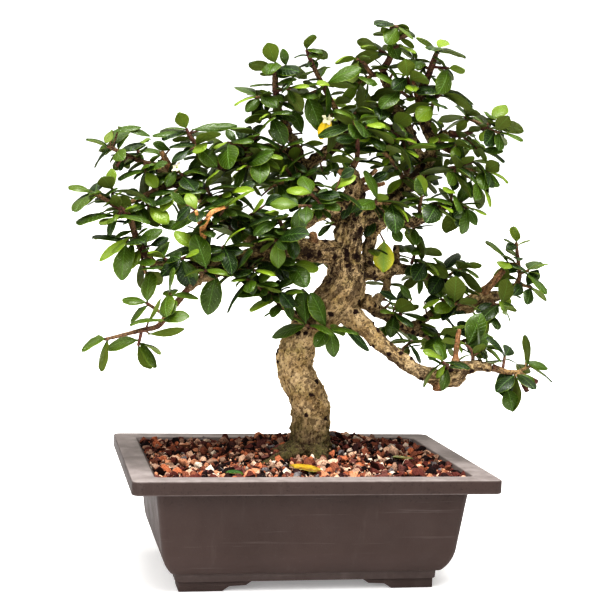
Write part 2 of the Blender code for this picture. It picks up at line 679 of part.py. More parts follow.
def blunt_start(start, run, radius, routes, wood_tree):
    """A side shoot's first two points: it starts just off the bark as a blunt point that widens."""
    step_out = 0.1
    step_back = 0.05
    reach = 0.0
    while wood_distance(start + run * reach, routes) < radius + GAP:
        reach += step_out
    while reach > 0:
        place = start + run * (reach - step_back)
        probe = tube([(place - run * GAP, radius * 0.6), (place + run, radius + GAP)], PROBE_SIDES)
        if BVHTree.FromPolygons(*probe).overlap(wood_tree):
            break
        reach -= step_back
    return [(start + run * reach, radius * BLUNT_TIP), (start + run * (reach + BLUNT_LENGTH), radius)]


def stem_route(spray, routes, wood_tree):
    """A spray's stem. At a branch's end it starts as a flat end that meets the cut wood, and at a
    branch's side as a blunt point just off the bark."""
    host, kind, stem, _ = SPRAYS[spray]
    route = [split_row(row) for row in stem]
    carrier = branch_route(host)
    if kind == "end":
        place, radius = carrier[-1]
        heading = (carrier[-1][0] - carrier[-2][0]).normalized()
        return [(place + heading * GAP, radius)] + route, heading
    knee, radius = route[0]
    start, _, _ = nearest_on_route(knee, carrier)
    run = (knee - start).normalized()
    begin = blunt_start(start, run, radius, routes, wood_tree)
    shortest = 0.8
    if (knee - begin[1][0]).dot(run) < shortest:
        route = route[1:]
    return begin + route, run


def leaf_frame(leaf):
    """Gives the middle line, side and normal of a leaf that arches over, at shares of its length."""
    root, heading, length, arch = leaf["root"], leaf["heading"], leaf["length"], leaf["arch"]
    side = heading.cross(leaf["facing"])
    if side.length < 0.2:
        side = heading.cross(Vector((0.3, -1, 0.3)))
    side = Matrix.Rotation(leaf["roll"], 3, heading) @ side.normalized()
    normal = side.cross(heading).normalized()

    def at(share):
        bend = arch * share
        middle = root + length / arch * (math.sin(bend) * heading - (1 - math.cos(bend)) * normal)
        return middle, side, math.cos(bend) * normal + math.sin(bend) * heading

    return at


def blade_width(share):
    """The outline of the leaf: a long wedge that ends in a broad round tip."""
    return math.sin(math.pi * share ** 1.8) ** 0.7


def leaf_section(leaf, share, thick, grow=0.0):
    """Three points round the leaf: its two edges and the keel below."""
    middle, side, normal = leaf_frame(leaf)(share)
    reach = max(PETIOLE_HALF, leaf["width"] / 2 * blade_width(share)) + grow
    rise = thick / 2 + grow
    edge_height = middle + normal * rise
    return [edge_height - side * reach, edge_height + side * reach, middle - normal * rise]


def blade_faces(first, tip):
    """The faces from one section over the next one to the tip, for points that follow each other."""
    faces = []
    for spoke in range(3):
        a, b = first + spoke, first + (spoke + 1) % 3
        faces += [(a, b, b + 3), (a, b + 3, a + 3), (a + 3, b + 3, tip)]
    return faces


def leaf_solid(leaf, grow=0.0, first=0.0):
    """A leaf by itself, which can be grown all round and start part of the way along."""
    tip, _, _ = leaf_frame(leaf)(1 + grow / leaf["length"])
    foot = leaf_section(leaf, 0, PETIOLE_THICK, grow)
    wide = leaf_section(leaf, LEAF_WIDEST, LEAF_THICK, grow)
    points = [a.lerp(b, first / LEAF_WIDEST) for a, b in zip(foot, wide)]
    points += wide + leaf_section(leaf, LEAF_SHOULDER, LEAF_THICK * SHOULDER_THICK, grow)
    faces = [(2, 1, 0)]
    for spoke in range(3):
        beside = (spoke + 1) % 3
        faces += [(spoke, beside, beside + 3), (spoke, beside + 3, spoke + 3)]
    return points + [tip], faces + blade_faces(3, 9)


def grow_leaf(points, faces, slot, leaf):
    """Draws one face of a twig out into a leaf, so that both are one skin."""
    base = faces[slot]
    first = len(points)
    side = leaf_frame(leaf)(0)[1]
    count = len(base)
    turn = max(range(count), key=lambda k: (points[base[(k + 1) % count]] - points[base[k]]).dot(side))
    ring = [base[(turn + k) % count] for k in range(count)]
    points += leaf_section(leaf, LEAF_WIDEST, LEAF_THICK)
    points += leaf_section(leaf, LEAF_SHOULDER, LEAF_THICK * SHOULDER_THICK)
    points.append(leaf_frame(leaf)(1)[0])
    left, right, keel = first, first + 1, first + 2
    skin = []
    for a, b, c, d in ((ring[0], ring[1], right, left), (ring[1], ring[2], keel, right),
                       (ring[-1], ring[0], left, keel)):
        normal = (points[b] - points[a]).cross(points[c] - points[a])
        if (points[d] - points[a]).dot(normal) <= 0:
            skin += [(a, b, c), (a, c, d)]
        else:
            skin += [(a, b, d), (b, c, d)]
    if count == 4:
        skin.append((ring[2], ring[3], keel))
    faces[slot] = skin[0]
    faces += skin[1:] + blade_faces(first, first + 6)


def leaf_skin(twig, slot, leaf):
    """A leaf's own faces, as they are drawn out of its twig."""
    points = [twig["points"][corner] for corner in twig["faces"][slot]]
    faces = [tuple(range(len(points)))]
    grow_leaf(points, faces, 0, leaf)
    return points, faces


def tree_of(shapes):
    """One search tree over several shapes."""
    points = []
    faces = []
    for shape_points, shape_faces in shapes:
        base = len(points)
        points += shape_points
        faces += [tuple(base + corner for corner in face) for face in shape_faces]
    return BVHTree.FromPolygons(points, faces)


def flower_shape(foot, axis):
    """A small open flower: a stalk and a shallow cup of five pointed petals, as one skin."""
    side = axis.orthogonal().normalized()
    other = axis.cross(side)

    def ring(height, radii):
        return [
            foot + axis * height + radii[step % 2] * (
                math.cos(math.pi * step / PETALS) * side + math.sin(math.pi * step / PETALS) * other)
            for step in range(2 * PETALS)]

    stalk = (STALK_RADIUS, STALK_RADIUS - 0.05)
    half_cup = FLOWER_STALK + 0.9
    return lofted([
        ring(0, stalk), ring(FLOWER_STALK - 0.8, stalk), ring(FLOWER_STALK, (1.1, 1.0)),
        ring(half_cup + 0.6, (FLOWER_RADIUS, 1.8)), ring(half_cup + 1.3, (FLOWER_RADIUS * 0.97, 1.7)),
        ring(half_cup + 0.2, (0.9, 0.7))])


def point_along(route, distance):
    """The place and radius at a distance from the start of a route."""
    for (a, radius_a), (b, radius_b) in zip(route, route[1:]):
        run = (b - a).length
        if distance <= run:
            return a.lerp(b, distance / run), radius_a + (radius_b - radius_a) * distance / run
        distance -= run
    return route[-1]


def plan_twig(route, headings, sides, leaves, usable, bare_tip):
    """A twig's skin with rings close together near its tip, and the faces that leaves grow from."""
    segments = max(1, min(leaves - 1, int(usable / NODE_LENGTH))) if leaves else 0
    total = sum((b - a).length for (a, _), (b, _) in zip(route, route[1:]))
    marks = [total - NODE_LENGTH * step for step in range(segments, 0, -1)]
    kept = []
    so_far = 0.0
    for index, row in enumerate(route[:-1]):
        if index:
            so_far += (row[0] - route[index - 1][0]).length
        if not marks or so_far < marks[0] - 0.5:
            kept.append(row)
    kept += [point_along(route, mark) for mark in marks] + [route[-1]]
    points, faces = tube(kept, sides, headings)
    last_row = len(kept) - 2
    slots = [] if bare_tip or not leaves else [len(faces) - 1]
    spoke = 0
    while len(slots) < min(leaves, 1 + segments * sides):
        segment = (len(slots) - 1) % segments if slots else 0
        spoke = (spoke + (2 if sides == 4 and len(slots) % 2 else 1)) % sides
        slot = 1 + (last_row - segment) * sides + spoke
        while slot in slots:
            spoke = (spoke + 1) % sides
            slot = 1 + (last_row - segment) * sides + spoke
        slots.append(slot)
    axis = (route[-1][0] - point_along(route, total - max(2.0, NODE_LENGTH * segments))[0]).normalized()
    return {"points": points, "faces": faces, "slots": slots, "axis": axis, "tip": route[-1][0],
            "leaves": []}


def lay_out_twigs(wood_tree):
    """Finds the route of each twig. A spur's end that would touch other growth is moved a little."""
    layout = {}
    routes = [branch_route(name) for name in BRANCHES]
    routes += [[(Vector(start), radius), (Vector(cut), radius)] for start, cut, radius in STUBS]
    nudges = [Vector((0, 0, 0))]
    nudges += [Vector(step) * reach for reach in NUDGE_REACHES for step in NUDGE_STEPS]
    for name in SPRAYS:
        route, heading = stem_route(name, routes, wood_tree)
        x, y, z, leaves = SPRAYS[name][3][0]
        route.append((Vector((x, y, z)), SPUR_RADIUS))
        usable = sum((b - a).length for (a, _), (b, _) in zip(route, route[1:])) - 4.0
        bare_tip = (name, 0) in FLOWERS.values()
        twig = plan_twig(route, (heading, None), STEM_SIDES, leaves, usable, bare_tip)
        layout[name] = {"stem": route, "twigs": [twig], "tubes": []}
        grown = [(place, radius + CLEARANCE) for place, radius in route]
        layout[name]["tubes"].append(tube(grown, PROBE_SIDES))
    for name, (_, _, _, ends) in SPRAYS.items():
        others = [tree_of(row["tubes"]) for other, row in layout.items() if other != name]
        stem = layout[name]["stem"]
        for index, (x, y, z, leaves) in enumerate(ends[1:], 1):
            for nudge in nudges:
                tip = Vector((x, y, z)) + nudge
                place, girth, run = nearest_on_route(tip, stem[1:-1] if len(stem) > 3 else stem[:-1])
                least = girth + SPUR_RADIUS + 2 * NODE_LENGTH
                if (tip - place).length < least:
                    tip = place + (tip - place).normalized() * least
                radius = SPUR_RADIUS if leaves else STUB_RADIUS
                roots = [place - run * back for back in ROOT_SLIDES]
                root = next((spot for spot in roots if wood_distance(spot, routes) > radius + GAP), place)
                reach = radius + CLEARANCE
                shape = tube([(root, reach), (tip, reach)], PROBE_SIDES)
                probe = BVHTree.FromPolygons(*shape)
                outer_part = tube([(root.lerp(tip, 0.4), reach), (tip, reach)], PROBE_SIDES)
                beyond = BVHTree.FromPolygons(*outer_part)
                if beyond.overlap(wood_tree) or any(probe.overlap(tree) for tree in others):
                    continue
                break
            usable = (tip - place).length - girth - 1.0
            layout[name]["twigs"].append(plan_twig(
                [(root, radius), (tip, radius)], (None, None), SPUR_SIDES, leaves, usable,
                (name, index) in FLOWERS.values()))
            layout[name]["tubes"].append(shape)
    return layout


def leaf_choice(twig, slot, draw, attempt, youngest):
    """One way to set a leaf on a face of a twig, a little shorter at every attempt."""
    corners = [twig["points"][corner] for corner in twig["faces"][slot]]
    root = sum(corners, Vector()) / len(corners)
    axis = twig["axis"]
    length = draw.uniform(*LEAF_LENGTH) * (YOUNG_LENGTH if youngest else 1.0) * (1 - TRY_SHRINK * attempt)
    if youngest:
        turn = draw.uniform(0, 2 * math.pi)
        opening = math.radians(draw.uniform(*YOUNG_OPENING))
        across = axis.orthogonal().normalized()
        out = math.cos(turn) * across + math.sin(turn) * axis.cross(across)
    else:
        normal = (corners[1] - corners[0]).cross(corners[2] - corners[0])
        normal = (normal - axis * normal.dot(axis)).normalized()
        out = Matrix.Rotation(math.radians(draw.uniform(-SIDE_TURN, SIDE_TURN)), 3, axis) @ normal
        opening = math.radians(draw.uniform(*SIDE_OPENING))
    heading = math.cos(opening) * axis + math.sin(opening) * out + UP * 0.1
    heading.z *= YOUNG_LEVEL if youngest else LEAF_LEVEL
    outward = Vector((root.x - TRUNK_FOOT[0], root.y - TRUNK_FOOT[1], 0)).normalized()
    return {"root": root, "heading": heading.normalized(), "facing": UP * FACE_UP + outward * FACE_OUT,
            "roll": math.radians(draw.uniform(-LEAF_ROLL, LEAF_ROLL)), "length": length,
            "width": length * draw.uniform(*LEAF_SLIMNESS), "arch": math.radians(draw.uniform(*LEAF_ARCH))}


def reach_of(leaf):
    """The middle of a leaf and how far it reaches from there."""
    return leaf_frame(leaf)(0.5)[0], leaf["length"] * 0.56 + 1


def crowds(leaf, twig):
    """Whether a leaf leaves its twig close beside another one and in nearly the same direction."""
    return any(
        (leaf["root"] - other["root"]).length < CROWD_SPACING
        and leaf["heading"].dot(other["heading"]) > CROWD_HEADING
        for _, other in twig["leaves"])


def touches(probes, tree):
    return any(probe.overlap(tree) for probe in probes)


def lay_out_leaves(layout, wood_tree, flowers):
    """Sets every leaf where it clears the wood, the other sprays and the leaves before it."""
    wands = {name: tree_of(row["tubes"]) for name, row in layout.items()}
    flower_tree = tree_of(flowers)
    placed = []
    for name, row in layout.items():
        for index, twig in enumerate(row["twigs"]):
            for slot in twig["slots"]:
                draw = random.Random(f"{name} {index} {slot}")
                youngest = slot == len(twig["faces"]) - 1
                for attempt in range(LEAF_TRIES):
                    leaf = leaf_choice(twig, slot, draw, attempt, youngest)
                    if crowds(leaf, twig):
                        continue
                    skin = BVHTree.FromPolygons(*leaf_skin(twig, slot, leaf))
                    whole = (BVHTree.FromPolygons(*leaf_solid(leaf, grow=CLEARANCE)), skin)
                    blade = (BVHTree.FromPolygons(*leaf_solid(leaf, CLEARANCE, BLADE_START)),)
                    middle, reach = reach_of(leaf)
                    if touches(whole, wood_tree) or touches(whole, flower_tree):
                        continue
                    if any(touches(blade if other == name else whole, wand)
                           for other, wand in wands.items()):
                        continue
                    near = [entry for entry in placed if (entry[1] - middle).length < entry[2] + reach]
                    if any(touches(blade, entry[3]) if entry[0] == name else touches(whole, entry[4])
                           for entry in near):
                        continue
                    alone = BVHTree.FromPolygons(*leaf_solid(leaf))
                    placed.append((name, middle, reach, alone, skin))
                    twig["leaves"].append((slot, leaf))
                    break


# The sprays

def twig_shape(twig):
    """A twig and its leaves as one skin."""
    points = list(twig["points"])
    faces = list(twig["faces"])
    for slot, leaf in twig["leaves"]:
        grow_leaf(points, faces, slot, leaf)
    return points, faces


def make_flowers(layout):
    """The small pale flowers, each on a stalk that meets the end of its twig."""
    material = plain_material("flower_cream", (0.78, 0.74, 0.55), 0.6)
    shapes = []
    for name, (spray, index) in FLOWERS.items():
        twig = layout[spray]["twigs"][index]
        shape = flower_shape(twig["tip"] + twig["axis"] * GAP, twig["axis"])
        mesh_object(name, shape, material)
        shapes.append(shape)
    return shapes


def make_sprays():
    """The leafy stems, each with its side twigs joined to it."""
    limbs = tree_of(wood_shapes())
    layout = lay_out_twigs(limbs)
    lay_out_leaves(layout, limbs, make_flowers(layout))
    greens = ((0.045, 0.13, 0.02), (0.06, 0.16, 0.03), (0.09, 0.2, 0.04))
    for index, (name, row) in enumerate(layout.items()):
        material = plain_material("leaf_green_" + name, greens[index % len(greens)], 0.4)
        spray = mesh_object("spray_" + name, twig_shape(row["twigs"][0]), material)
        if len(row["twigs"]) > 1:
            boolean(spray, [twig_shape(twig) for twig in row["twigs"][1:]], "UNION")


# The dropped leaves

def make_fallen_leaf(name, soil_tree, material):
    """A leaf lying on the gravel: it comes down until it all but touches a stone."""
    x, y, turn, length = FALLEN[name]
    heading = Matrix.Rotation(math.radians(turn), 3, "Z") @ Vector((1, 0, 0.06)).normalized()
    leaf = {"root": Vector((x, y, POT_HEIGHT + 30)), "heading": heading, "facing": UP, "roll": 0.12,
            "length": length, "width": length * 0.58, "arch": 0.35}
    while not BVHTree.FromPolygons(*leaf_solid(leaf, grow=GAP)).overlap(soil_tree):
        leaf["root"].z -= 0.1
    leaf["root"].z += 0.15
    mesh_object(name, leaf_solid(leaf), material)


def make_fallen_leaves(soil):
    tree = BVHTree.FromPolygons(
        [vertex.co / MM for vertex in soil.data.vertices],
        [tuple(face.vertices) for face in soil.data.polygons])
    colours = {
        "fallen_leaf_green": (0.06, 0.25, 0.03),
        "fallen_leaf_yellow": (0.62, 0.45, 0.03),
        "fallen_leaf_pale": (0.35, 0.45, 0.2),
    }
    for name, colour in colours.items():
        make_fallen_leaf(name, tree, plain_material(name, colour, 0.5))


def centre_on_origin():
    """Moves every mesh so that the whole bonsai's box stands centred on the origin."""
    corners = [vertex.co for obj in bpy.data.objects for vertex in obj.data.vertices]
    low = [min(corner[axis] for corner in corners) for axis in range(3)]
    high = [max(corner[axis] for corner in corners) for axis in range(3)]
    shift = Vector((-(low[0] + high[0]) / 2, -(low[1] + high[1]) / 2, -low[2]))
    for obj in bpy.data.objects:
        obj.data.transform(Matrix.Translation(shift))


def main():
    clear_scene()
    make_pot()
    soil = make_soil()
    make_wood()
    make_sprays()
    make_fallen_leaves(soil)
    centre_on_origin()


main()
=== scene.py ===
# %% [markdown]
# # A fukien tea bonsai in its training pot
# A small tree with an S-curved trunk, limbs that were pruned for years and hundreds of glossy
# leaves stands in a shallow plastic pot of gravel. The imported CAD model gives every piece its
# place and size. This lesson dresses it: each CAD node is replaced by a finer piece that keeps
# its form, with a procedural finish. Nothing may reach outside the model's box, so we load the
# model and keep that box first.

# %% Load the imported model
import json
import math
import random
from contextlib import contextmanager

import bmesh
import bpy
import numpy as np
from mathutils import Matrix, Vector, noise
from mathutils.bvhtree import BVHTree
from mathutils.kdtree import KDTree

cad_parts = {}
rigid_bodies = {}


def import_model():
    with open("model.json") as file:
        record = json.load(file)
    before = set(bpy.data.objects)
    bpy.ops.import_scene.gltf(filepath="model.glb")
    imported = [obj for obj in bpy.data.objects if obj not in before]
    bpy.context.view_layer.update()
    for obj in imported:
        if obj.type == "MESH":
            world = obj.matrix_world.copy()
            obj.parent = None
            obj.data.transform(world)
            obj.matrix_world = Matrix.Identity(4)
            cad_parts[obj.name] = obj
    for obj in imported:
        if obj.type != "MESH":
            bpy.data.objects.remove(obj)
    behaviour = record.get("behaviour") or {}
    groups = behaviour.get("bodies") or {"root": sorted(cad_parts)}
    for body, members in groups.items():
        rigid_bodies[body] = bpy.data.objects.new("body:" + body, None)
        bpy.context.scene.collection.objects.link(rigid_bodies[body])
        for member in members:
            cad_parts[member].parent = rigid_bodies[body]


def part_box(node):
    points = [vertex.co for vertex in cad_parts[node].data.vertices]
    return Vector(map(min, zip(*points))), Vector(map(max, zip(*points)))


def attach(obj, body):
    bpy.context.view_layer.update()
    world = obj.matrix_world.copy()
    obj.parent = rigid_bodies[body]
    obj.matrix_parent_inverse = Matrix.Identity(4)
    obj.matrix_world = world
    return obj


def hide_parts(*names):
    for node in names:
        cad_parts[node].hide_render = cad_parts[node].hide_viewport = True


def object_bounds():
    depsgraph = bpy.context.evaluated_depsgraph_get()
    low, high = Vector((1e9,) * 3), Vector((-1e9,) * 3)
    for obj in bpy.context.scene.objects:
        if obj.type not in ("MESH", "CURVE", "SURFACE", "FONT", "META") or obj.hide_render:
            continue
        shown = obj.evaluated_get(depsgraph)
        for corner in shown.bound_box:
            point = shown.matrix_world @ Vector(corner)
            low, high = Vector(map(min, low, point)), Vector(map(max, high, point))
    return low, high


for old in list(bpy.data.objects):
    bpy.data.objects.remove(old, do_unlink=True)
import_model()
CAD_LOW, CAD_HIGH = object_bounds()
print("CAD box in metres:", tuple(CAD_LOW), tuple(CAD_HIGH))

# %% [markdown]
# ## Units and place
# The tree is measured in millimetres from the middle of the pot, as one would with a ruler.
# Blender wants metres, and the model's origin lies below the middle of the whole bonsai, so
# every mesh goes through one change of place and scale.

# %% From millimetres round the pot to metres in the model
MM = 0.001
GAP = 0.35
UP = Vector((0, 0, 1))
POT_LOW, POT_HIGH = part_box("pot")
POT_MIDDLE = Vector(((POT_LOW.x + POT_HIGH.x) / 2, (POT_LOW.y + POT_HIGH.y) / 2, 0))
TO_MODEL = Matrix.Translation(POT_MIDDLE) @ Matrix.Scale(MM, 4)
print("the pot's middle in the model:", tuple(round(value, 5) for value in POT_MIDDLE))

# %% [markdown]
# ## Camera
# The photograph was taken with a long lens from about a metre away, a little above the rim and
# from the left, with the camera slightly crooked. These values come from fitting the pot's corners.

# %% Camera
CAMERA_PLACE = Vector((-206.22, -1016.75, 274.65))
CAMERA_YAW = 0.19906
CAMERA_PITCH = 0.06901
CAMERA_ROLL = 0.03661
FOCAL_SHARE = 2.323
SENSOR_WIDTH = 36.0


def new_object(name, data):
    made = bpy.data.objects.new(name, data)
    bpy.context.scene.collection.objects.link(made)
    return made


def make_camera():
    ahead = Vector((
        math.sin(CAMERA_YAW) * math.cos(CAMERA_PITCH),
        math.cos(CAMERA_YAW) * math.cos(CAMERA_PITCH),
        -math.sin(CAMERA_PITCH)))
    level = Vector((math.cos(CAMERA_YAW), -math.sin(CAMERA_YAW), 0))
    above = level.cross(ahead)
    right = math.cos(CAMERA_ROLL) * level + math.sin(CAMERA_ROLL) * above
    top = math.cos(CAMERA_ROLL) * above - math.sin(CAMERA_ROLL) * level
    data = bpy.data.cameras.new("Camera")
    data.sensor_width = SENSOR_WIDTH
    data.lens = SENSOR_WIDTH * FOCAL_SHARE
    data.clip_start = 0.05
    data.clip_end = 50
    camera = new_object("Camera", data)
    turn = Matrix((right, top, -ahead)).transposed().to_4x4()
    camera.matrix_world = Matrix.Translation(TO_MODEL @ CAMERA_PLACE) @ turn
    bpy.context.scene.camera = camera
    return camera


camera = make_camera()
print("camera stands at", tuple(round(value, 3) for value in camera.location))

# %% [markdown]
# ## Floor and light
# The tree stood on white paper under large soft lamps. A hazy sun high on the right lights the
# paper evenly, a broad lamp overhead makes the leaves shine, and one at the front left lights
# the bark. The world is dimmer as a light than it looks, so the crown's shadows stay deep.

# %% Floor, sky and lamps
FLOOR_REACH = 30.0
SKY_TOP = 1.1
SKY_SIDE = 0.14
SKY_WARMTH = (1.0, 0.985, 0.94)
LAMPS = {
    "lamp_overhead": ("AREA", (-0.25, -0.35, 1.45), (0, 0, 0.25), 9.0, {"shape": "DISK", "size": 0.7}),
    "lamp_front_left": ("AREA", (-1.0, -1.3, 0.75), (0, 0, 0.2), 9.0, {"shape": "DISK", "size": 0.8}),
    "lamp_sun": ("SUN", (0.12, -0.38, 1.0), (0, 0, 0), 2.3, {"angle": math.radians(30)}),
}


def make_lamp(name, kind, place, target, power, settings):
    lamp = new_object(name, bpy.data.lights.new(name, kind))
    for key, value in {"energy": power, **settings}.items():
        setattr(lamp.data, key, value)
    lamp.location = place
    lamp.rotation_euler = (Vector(target) - Vector(place)).to_track_quat("-Z", "Y").to_euler()


def make_floor():
    mesh = bpy.data.meshes.new("floor")
    corners = [(x * FLOOR_REACH, y * FLOOR_REACH, 0) for x, y in ((-1, -1), (1, -1), (1, 1), (-1, 1))]
    mesh.from_pydata(corners, [], [(0, 1, 2, 3)])
    made = new_object("floor", mesh)
    return made


for lamp_name, row in LAMPS.items():
    make_lamp(lamp_name, *row)
floor = make_floor()
bpy.context.scene.view_settings.view_transform = "Standard"
bpy.context.scene.view_settings.look = "High Contrast"
print("lamps:", ", ".join(LAMPS))

# %% [markdown]
# ## Writing node trees as Python
# Finishes and scattered pieces are both node trees. A Wire is one node's output, and an
# expression such as 1 - mask adds the maths nodes. A Graph makes every other node from its
# type, its settings and its inputs.

# %% Wires and graphs
class Wire:
    """One output of a node. Arithmetic on it adds maths nodes."""

    def __init__(self, graph, socket):
        self.graph = graph
        self.socket = socket

    def out(self, name):
        return Wire(self.graph, self.socket.node.outputs[name])


def arithmetic(operation, swapped):
    def method(wire, other):
        return wire.graph.maths(operation, *((other, wire) if swapped else (wire, other)))
    return method


for sign, operation in (("add", "ADD"), ("sub", "SUBTRACT"), ("mul", "MULTIPLY"), ("truediv", "DIVIDE")):
    setattr(Wire, f"__{sign}__", arithmetic(operation, False))
    setattr(Wire, f"__r{sign}__", arithmetic(operation, True))


class Graph:
    """A node tree that is written from Python."""

    def __init__(self, tree):
        self.tree = tree
        tree.nodes.clear()

    def node(self, kind, settings=None, inputs=None, output=0):
        """Makes a node, sets its settings and then its sockets, and gives one output."""
        made = self.tree.nodes.new(kind)
        for name, value in (settings or {}).items():
            if name == "stops":
                self.set_stops(made.color_ramp, value)
            else:
                setattr(made, name, value)
        for key, value in (inputs or {}).items():
            self.feed(made.inputs[key], value)
        return Wire(self, made.outputs[output]) if len(made.outputs) else made

    def feed(self, socket, value):
        if isinstance(value, Wire):
            self.tree.links.new(value.socket, socket)
        elif socket.type == "RGBA" and len(value) == 3:
            socket.default_value = (*value, 1.0)
        else:
            socket.default_value = value

    def set_stops(self, ramp, stops):
        while len(ramp.elements) < len(stops):
            ramp.elements.new(1.0)
        for element, (place, colour) in zip(ramp.elements, stops):
            element.position = place
            element.color = (*colour, 1.0)

    def maths(self, operation, *values):
        """A Math node, or a Vector Math node where a value has three parts."""
        wide = any(
            isinstance(value, (tuple, Vector)) or (
                isinstance(value, Wire) and value.socket.type in ("VECTOR", "RGBA"))
            for value in values)
        if not wide:
            return self.node("ShaderNodeMath", {"operation": operation}, dict(enumerate(values)))
        parts = [(value,) * 3 if isinstance(value, (int, float)) else value for value in values]
        return self.node("ShaderNodeVectorMath", {"operation": operation}, dict(enumerate(parts)))

    def mix(self, share, first, second, blend="MIX"):
        return self.node(
            "ShaderNodeMix", {"data_type": "RGBA", "blend_type": blend}, {0: share, 6: first, 7: second}, 2)

    def layers(self, colour, *rows):
        """Lays colours over the first one, each as (share, colour)."""
        for share, over in rows:
            colour = self.mix(share, colour, over)
        return colour

    def ease(self, value, low, high):
        """0 below low, 1 above high, and a smooth step between them."""
        return self.node(
            "ShaderNodeMapRange", {"interpolation_type": "SMOOTHSTEP"},
            {"Value": value, "From Min": low, "From Max": high})

    def noise(self, place, scale, detail=3.0, roughness=0.55):
        return self.node(
            "ShaderNodeTexNoise", None,
            {"Vector": place, "Scale": scale, "Detail": detail, "Roughness": roughness})

    def cells(self, place, scale, spread=1.0, feature="F1"):
        return self.node(
            "ShaderNodeTexVoronoi", {"feature": feature},
            {"Vector": place, "Scale": scale, "Randomness": spread})

    def attribute(self, name):
        return self.node("ShaderNodeAttribute", {"attribute_name": name}, output="Vector")

    def parts(self, vector):
        split = self.node("ShaderNodeSeparateXYZ", None, {0: vector})
        return split.out("X"), split.out("Y"), split.out("Z")


# %% Finishes
def new_finish(name):
    """A material, its graph and the piece's own coordinates in metres."""
    material = bpy.data.materials.new(name)
    material.use_nodes = True
    graph = Graph(material.node_tree)
    return material, graph, graph.node("ShaderNodeTexCoord", output="Object")


def set_surface(graph, colour, roughness, relief=None, depth=1.0, **fixed):
    """Ends a material. relief is a height of 0 to 1, and depth its size in millimetres."""
    sockets = {"Base Color": colour, "Roughness": roughness}
    if relief is not None:
        sockets["Normal"] = graph.node(
            "ShaderNodeBump", None, {"Height": relief, "Strength": 1.0, "Distance": depth * MM}, "Normal")
    sockets.update({label.replace("_", " "): value for label, value in fixed.items()})
    shader = graph.node("ShaderNodeBsdfPrincipled", None, sockets)
    graph.node("ShaderNodeOutputMaterial", None, {"Surface": shader})


FLOOR_COLOUR = (0.95, 0.95, 0.96)
FLOOR_GLOW = 0.22
floor_finish, paper, paper_place = new_finish("white_paper")
set_surface(
    paper, paper.mix(paper.noise(paper_place, 3.0) * 0.2, FLOOR_COLOUR, (0.92, 0.92, 0.935)), 0.9,
    Emission_Color=(1.0, 1.0, 1.0), Emission_Strength=FLOOR_GLOW)
floor.data.materials.append(floor_finish)


def make_sky():
    """White to the camera. As a light it is bright overhead and dim at the sides."""
    world = bpy.data.worlds.new("white_studio")
    world.use_nodes = True
    g = Graph(world.node_tree)
    seen = g.node("ShaderNodeLightPath", output="Is Camera Ray")
    _, _, upward = g.parts(g.node("ShaderNodeTexCoord", output="Generated"))
    light = SKY_SIDE + (SKY_TOP - SKY_SIDE) * g.ease(upward, 0.1, 0.95)
    strength = light + seen * (1.05 - light)
    tint = g.mix(seen, SKY_WARMTH, (1.0, 1.0, 1.0))
    sky = g.node("ShaderNodeBackground", None, {"Color": tint, "Strength": strength})
    g.node("ShaderNodeOutputWorld", None, {"Surface": sky})
    bpy.context.scene.world = world


make_sky()
print("the floor and the sky are ready")

# %% [markdown]
# ## Geometry Nodes as a tool
# Stones, leaves and twigs repeat by the hundred. A Geometry Nodes tree with named inputs places
# them, and the result becomes a plain mesh, so the scene depends on no live modifier.

# %% Trees with named inputs, and plain meshes from them
def geometry_graph(name, inputs):
    """A tree with one geometry input and the named ones."""
    tree = bpy.data.node_groups.new(name, "GeometryNodeTree")
    tree.interface.new_socket("Geometry", in_out="INPUT", socket_type="NodeSocketGeometry")
    for label, kind in inputs.items():
        tree.interface.new_socket(label, in_out="INPUT", socket_type="NodeSocket" + kind)
    tree.interface.new_socket("Geometry", in_out="OUTPUT", socket_type="NodeSocketGeometry")
    graph = Graph(tree)
    return graph, graph.node("NodeGroupInput", output="Geometry")


def finish_geometry(graph, geometry, material, smooth=True):
    """Realizes instances, sets the shading and the material, and ends the tree."""
    real = graph.node("GeometryNodeRealizeInstances", None, {"Geometry": geometry})
    shaded = graph.node("GeometryNodeSetShadeSmooth", None, {"Geometry": real, "Shade Smooth": smooth})
    dressed = graph.node("GeometryNodeSetMaterial", None, {"Geometry": shaded, "Material": material})
    graph.node("NodeGroupOutput", None, {"Geometry": dressed})


def shaped(obj, kind, **settings):
    """Gives an object one modifier and puts the plain mesh that it makes in the object."""
    step = obj.modifiers.new(kind, kind)
    for name, value in settings.items():
        setattr(step, name, value)
    return settled(obj)


def settled(obj):
    ready = obj.evaluated_get(bpy.context.evaluated_depsgraph_get())
    old = obj.data
    obj.data = bpy.data.meshes.new_from_object(ready)
    obj.modifiers.clear()
    bpy.data.meshes.remove(old)
    obj.data.name = obj.name
    return obj


def grown(source, graph, values):
    """Turns an object into the plain mesh that a tree grows from it."""
    step = source.modifiers.new("Growth", "NODES")
    step.node_group = graph.tree
    for item in graph.tree.interface.items_tree:
        if item.in_out == "INPUT" and item.name in values:
            step[item.identifier] = values[item.name]
    return settled(source)


@contextmanager
def edited(mesh):
    """A mesh opened for bmesh's tools, and written back afterwards."""
    shell = bmesh.new()
    shell.from_mesh(mesh)
    yield shell
    shell.to_mesh(mesh)
    shell.free()


def mesh_object(name, points, faces, edges=()):
    """An object from points in millimetres, with its faces turned outwards."""
    mesh = bpy.data.meshes.new(name)
    mesh.from_pydata([tuple(TO_MODEL @ Vector(point)) for point in points], list(edges), list(faces))
    if faces:
        with edited(mesh) as shell:
            bmesh.ops.recalc_face_normals(shell, faces=shell.faces)
    return new_object(name, mesh)


def give_attribute(obj, name, kind, values, domain="POINT"):
    layer = obj.data.attributes.new(name, kind, domain)
    field = "vector" if kind == "FLOAT_VECTOR" else "value"
    layer.data.foreach_set(field, np.array(values, dtype=np.float32).ravel())


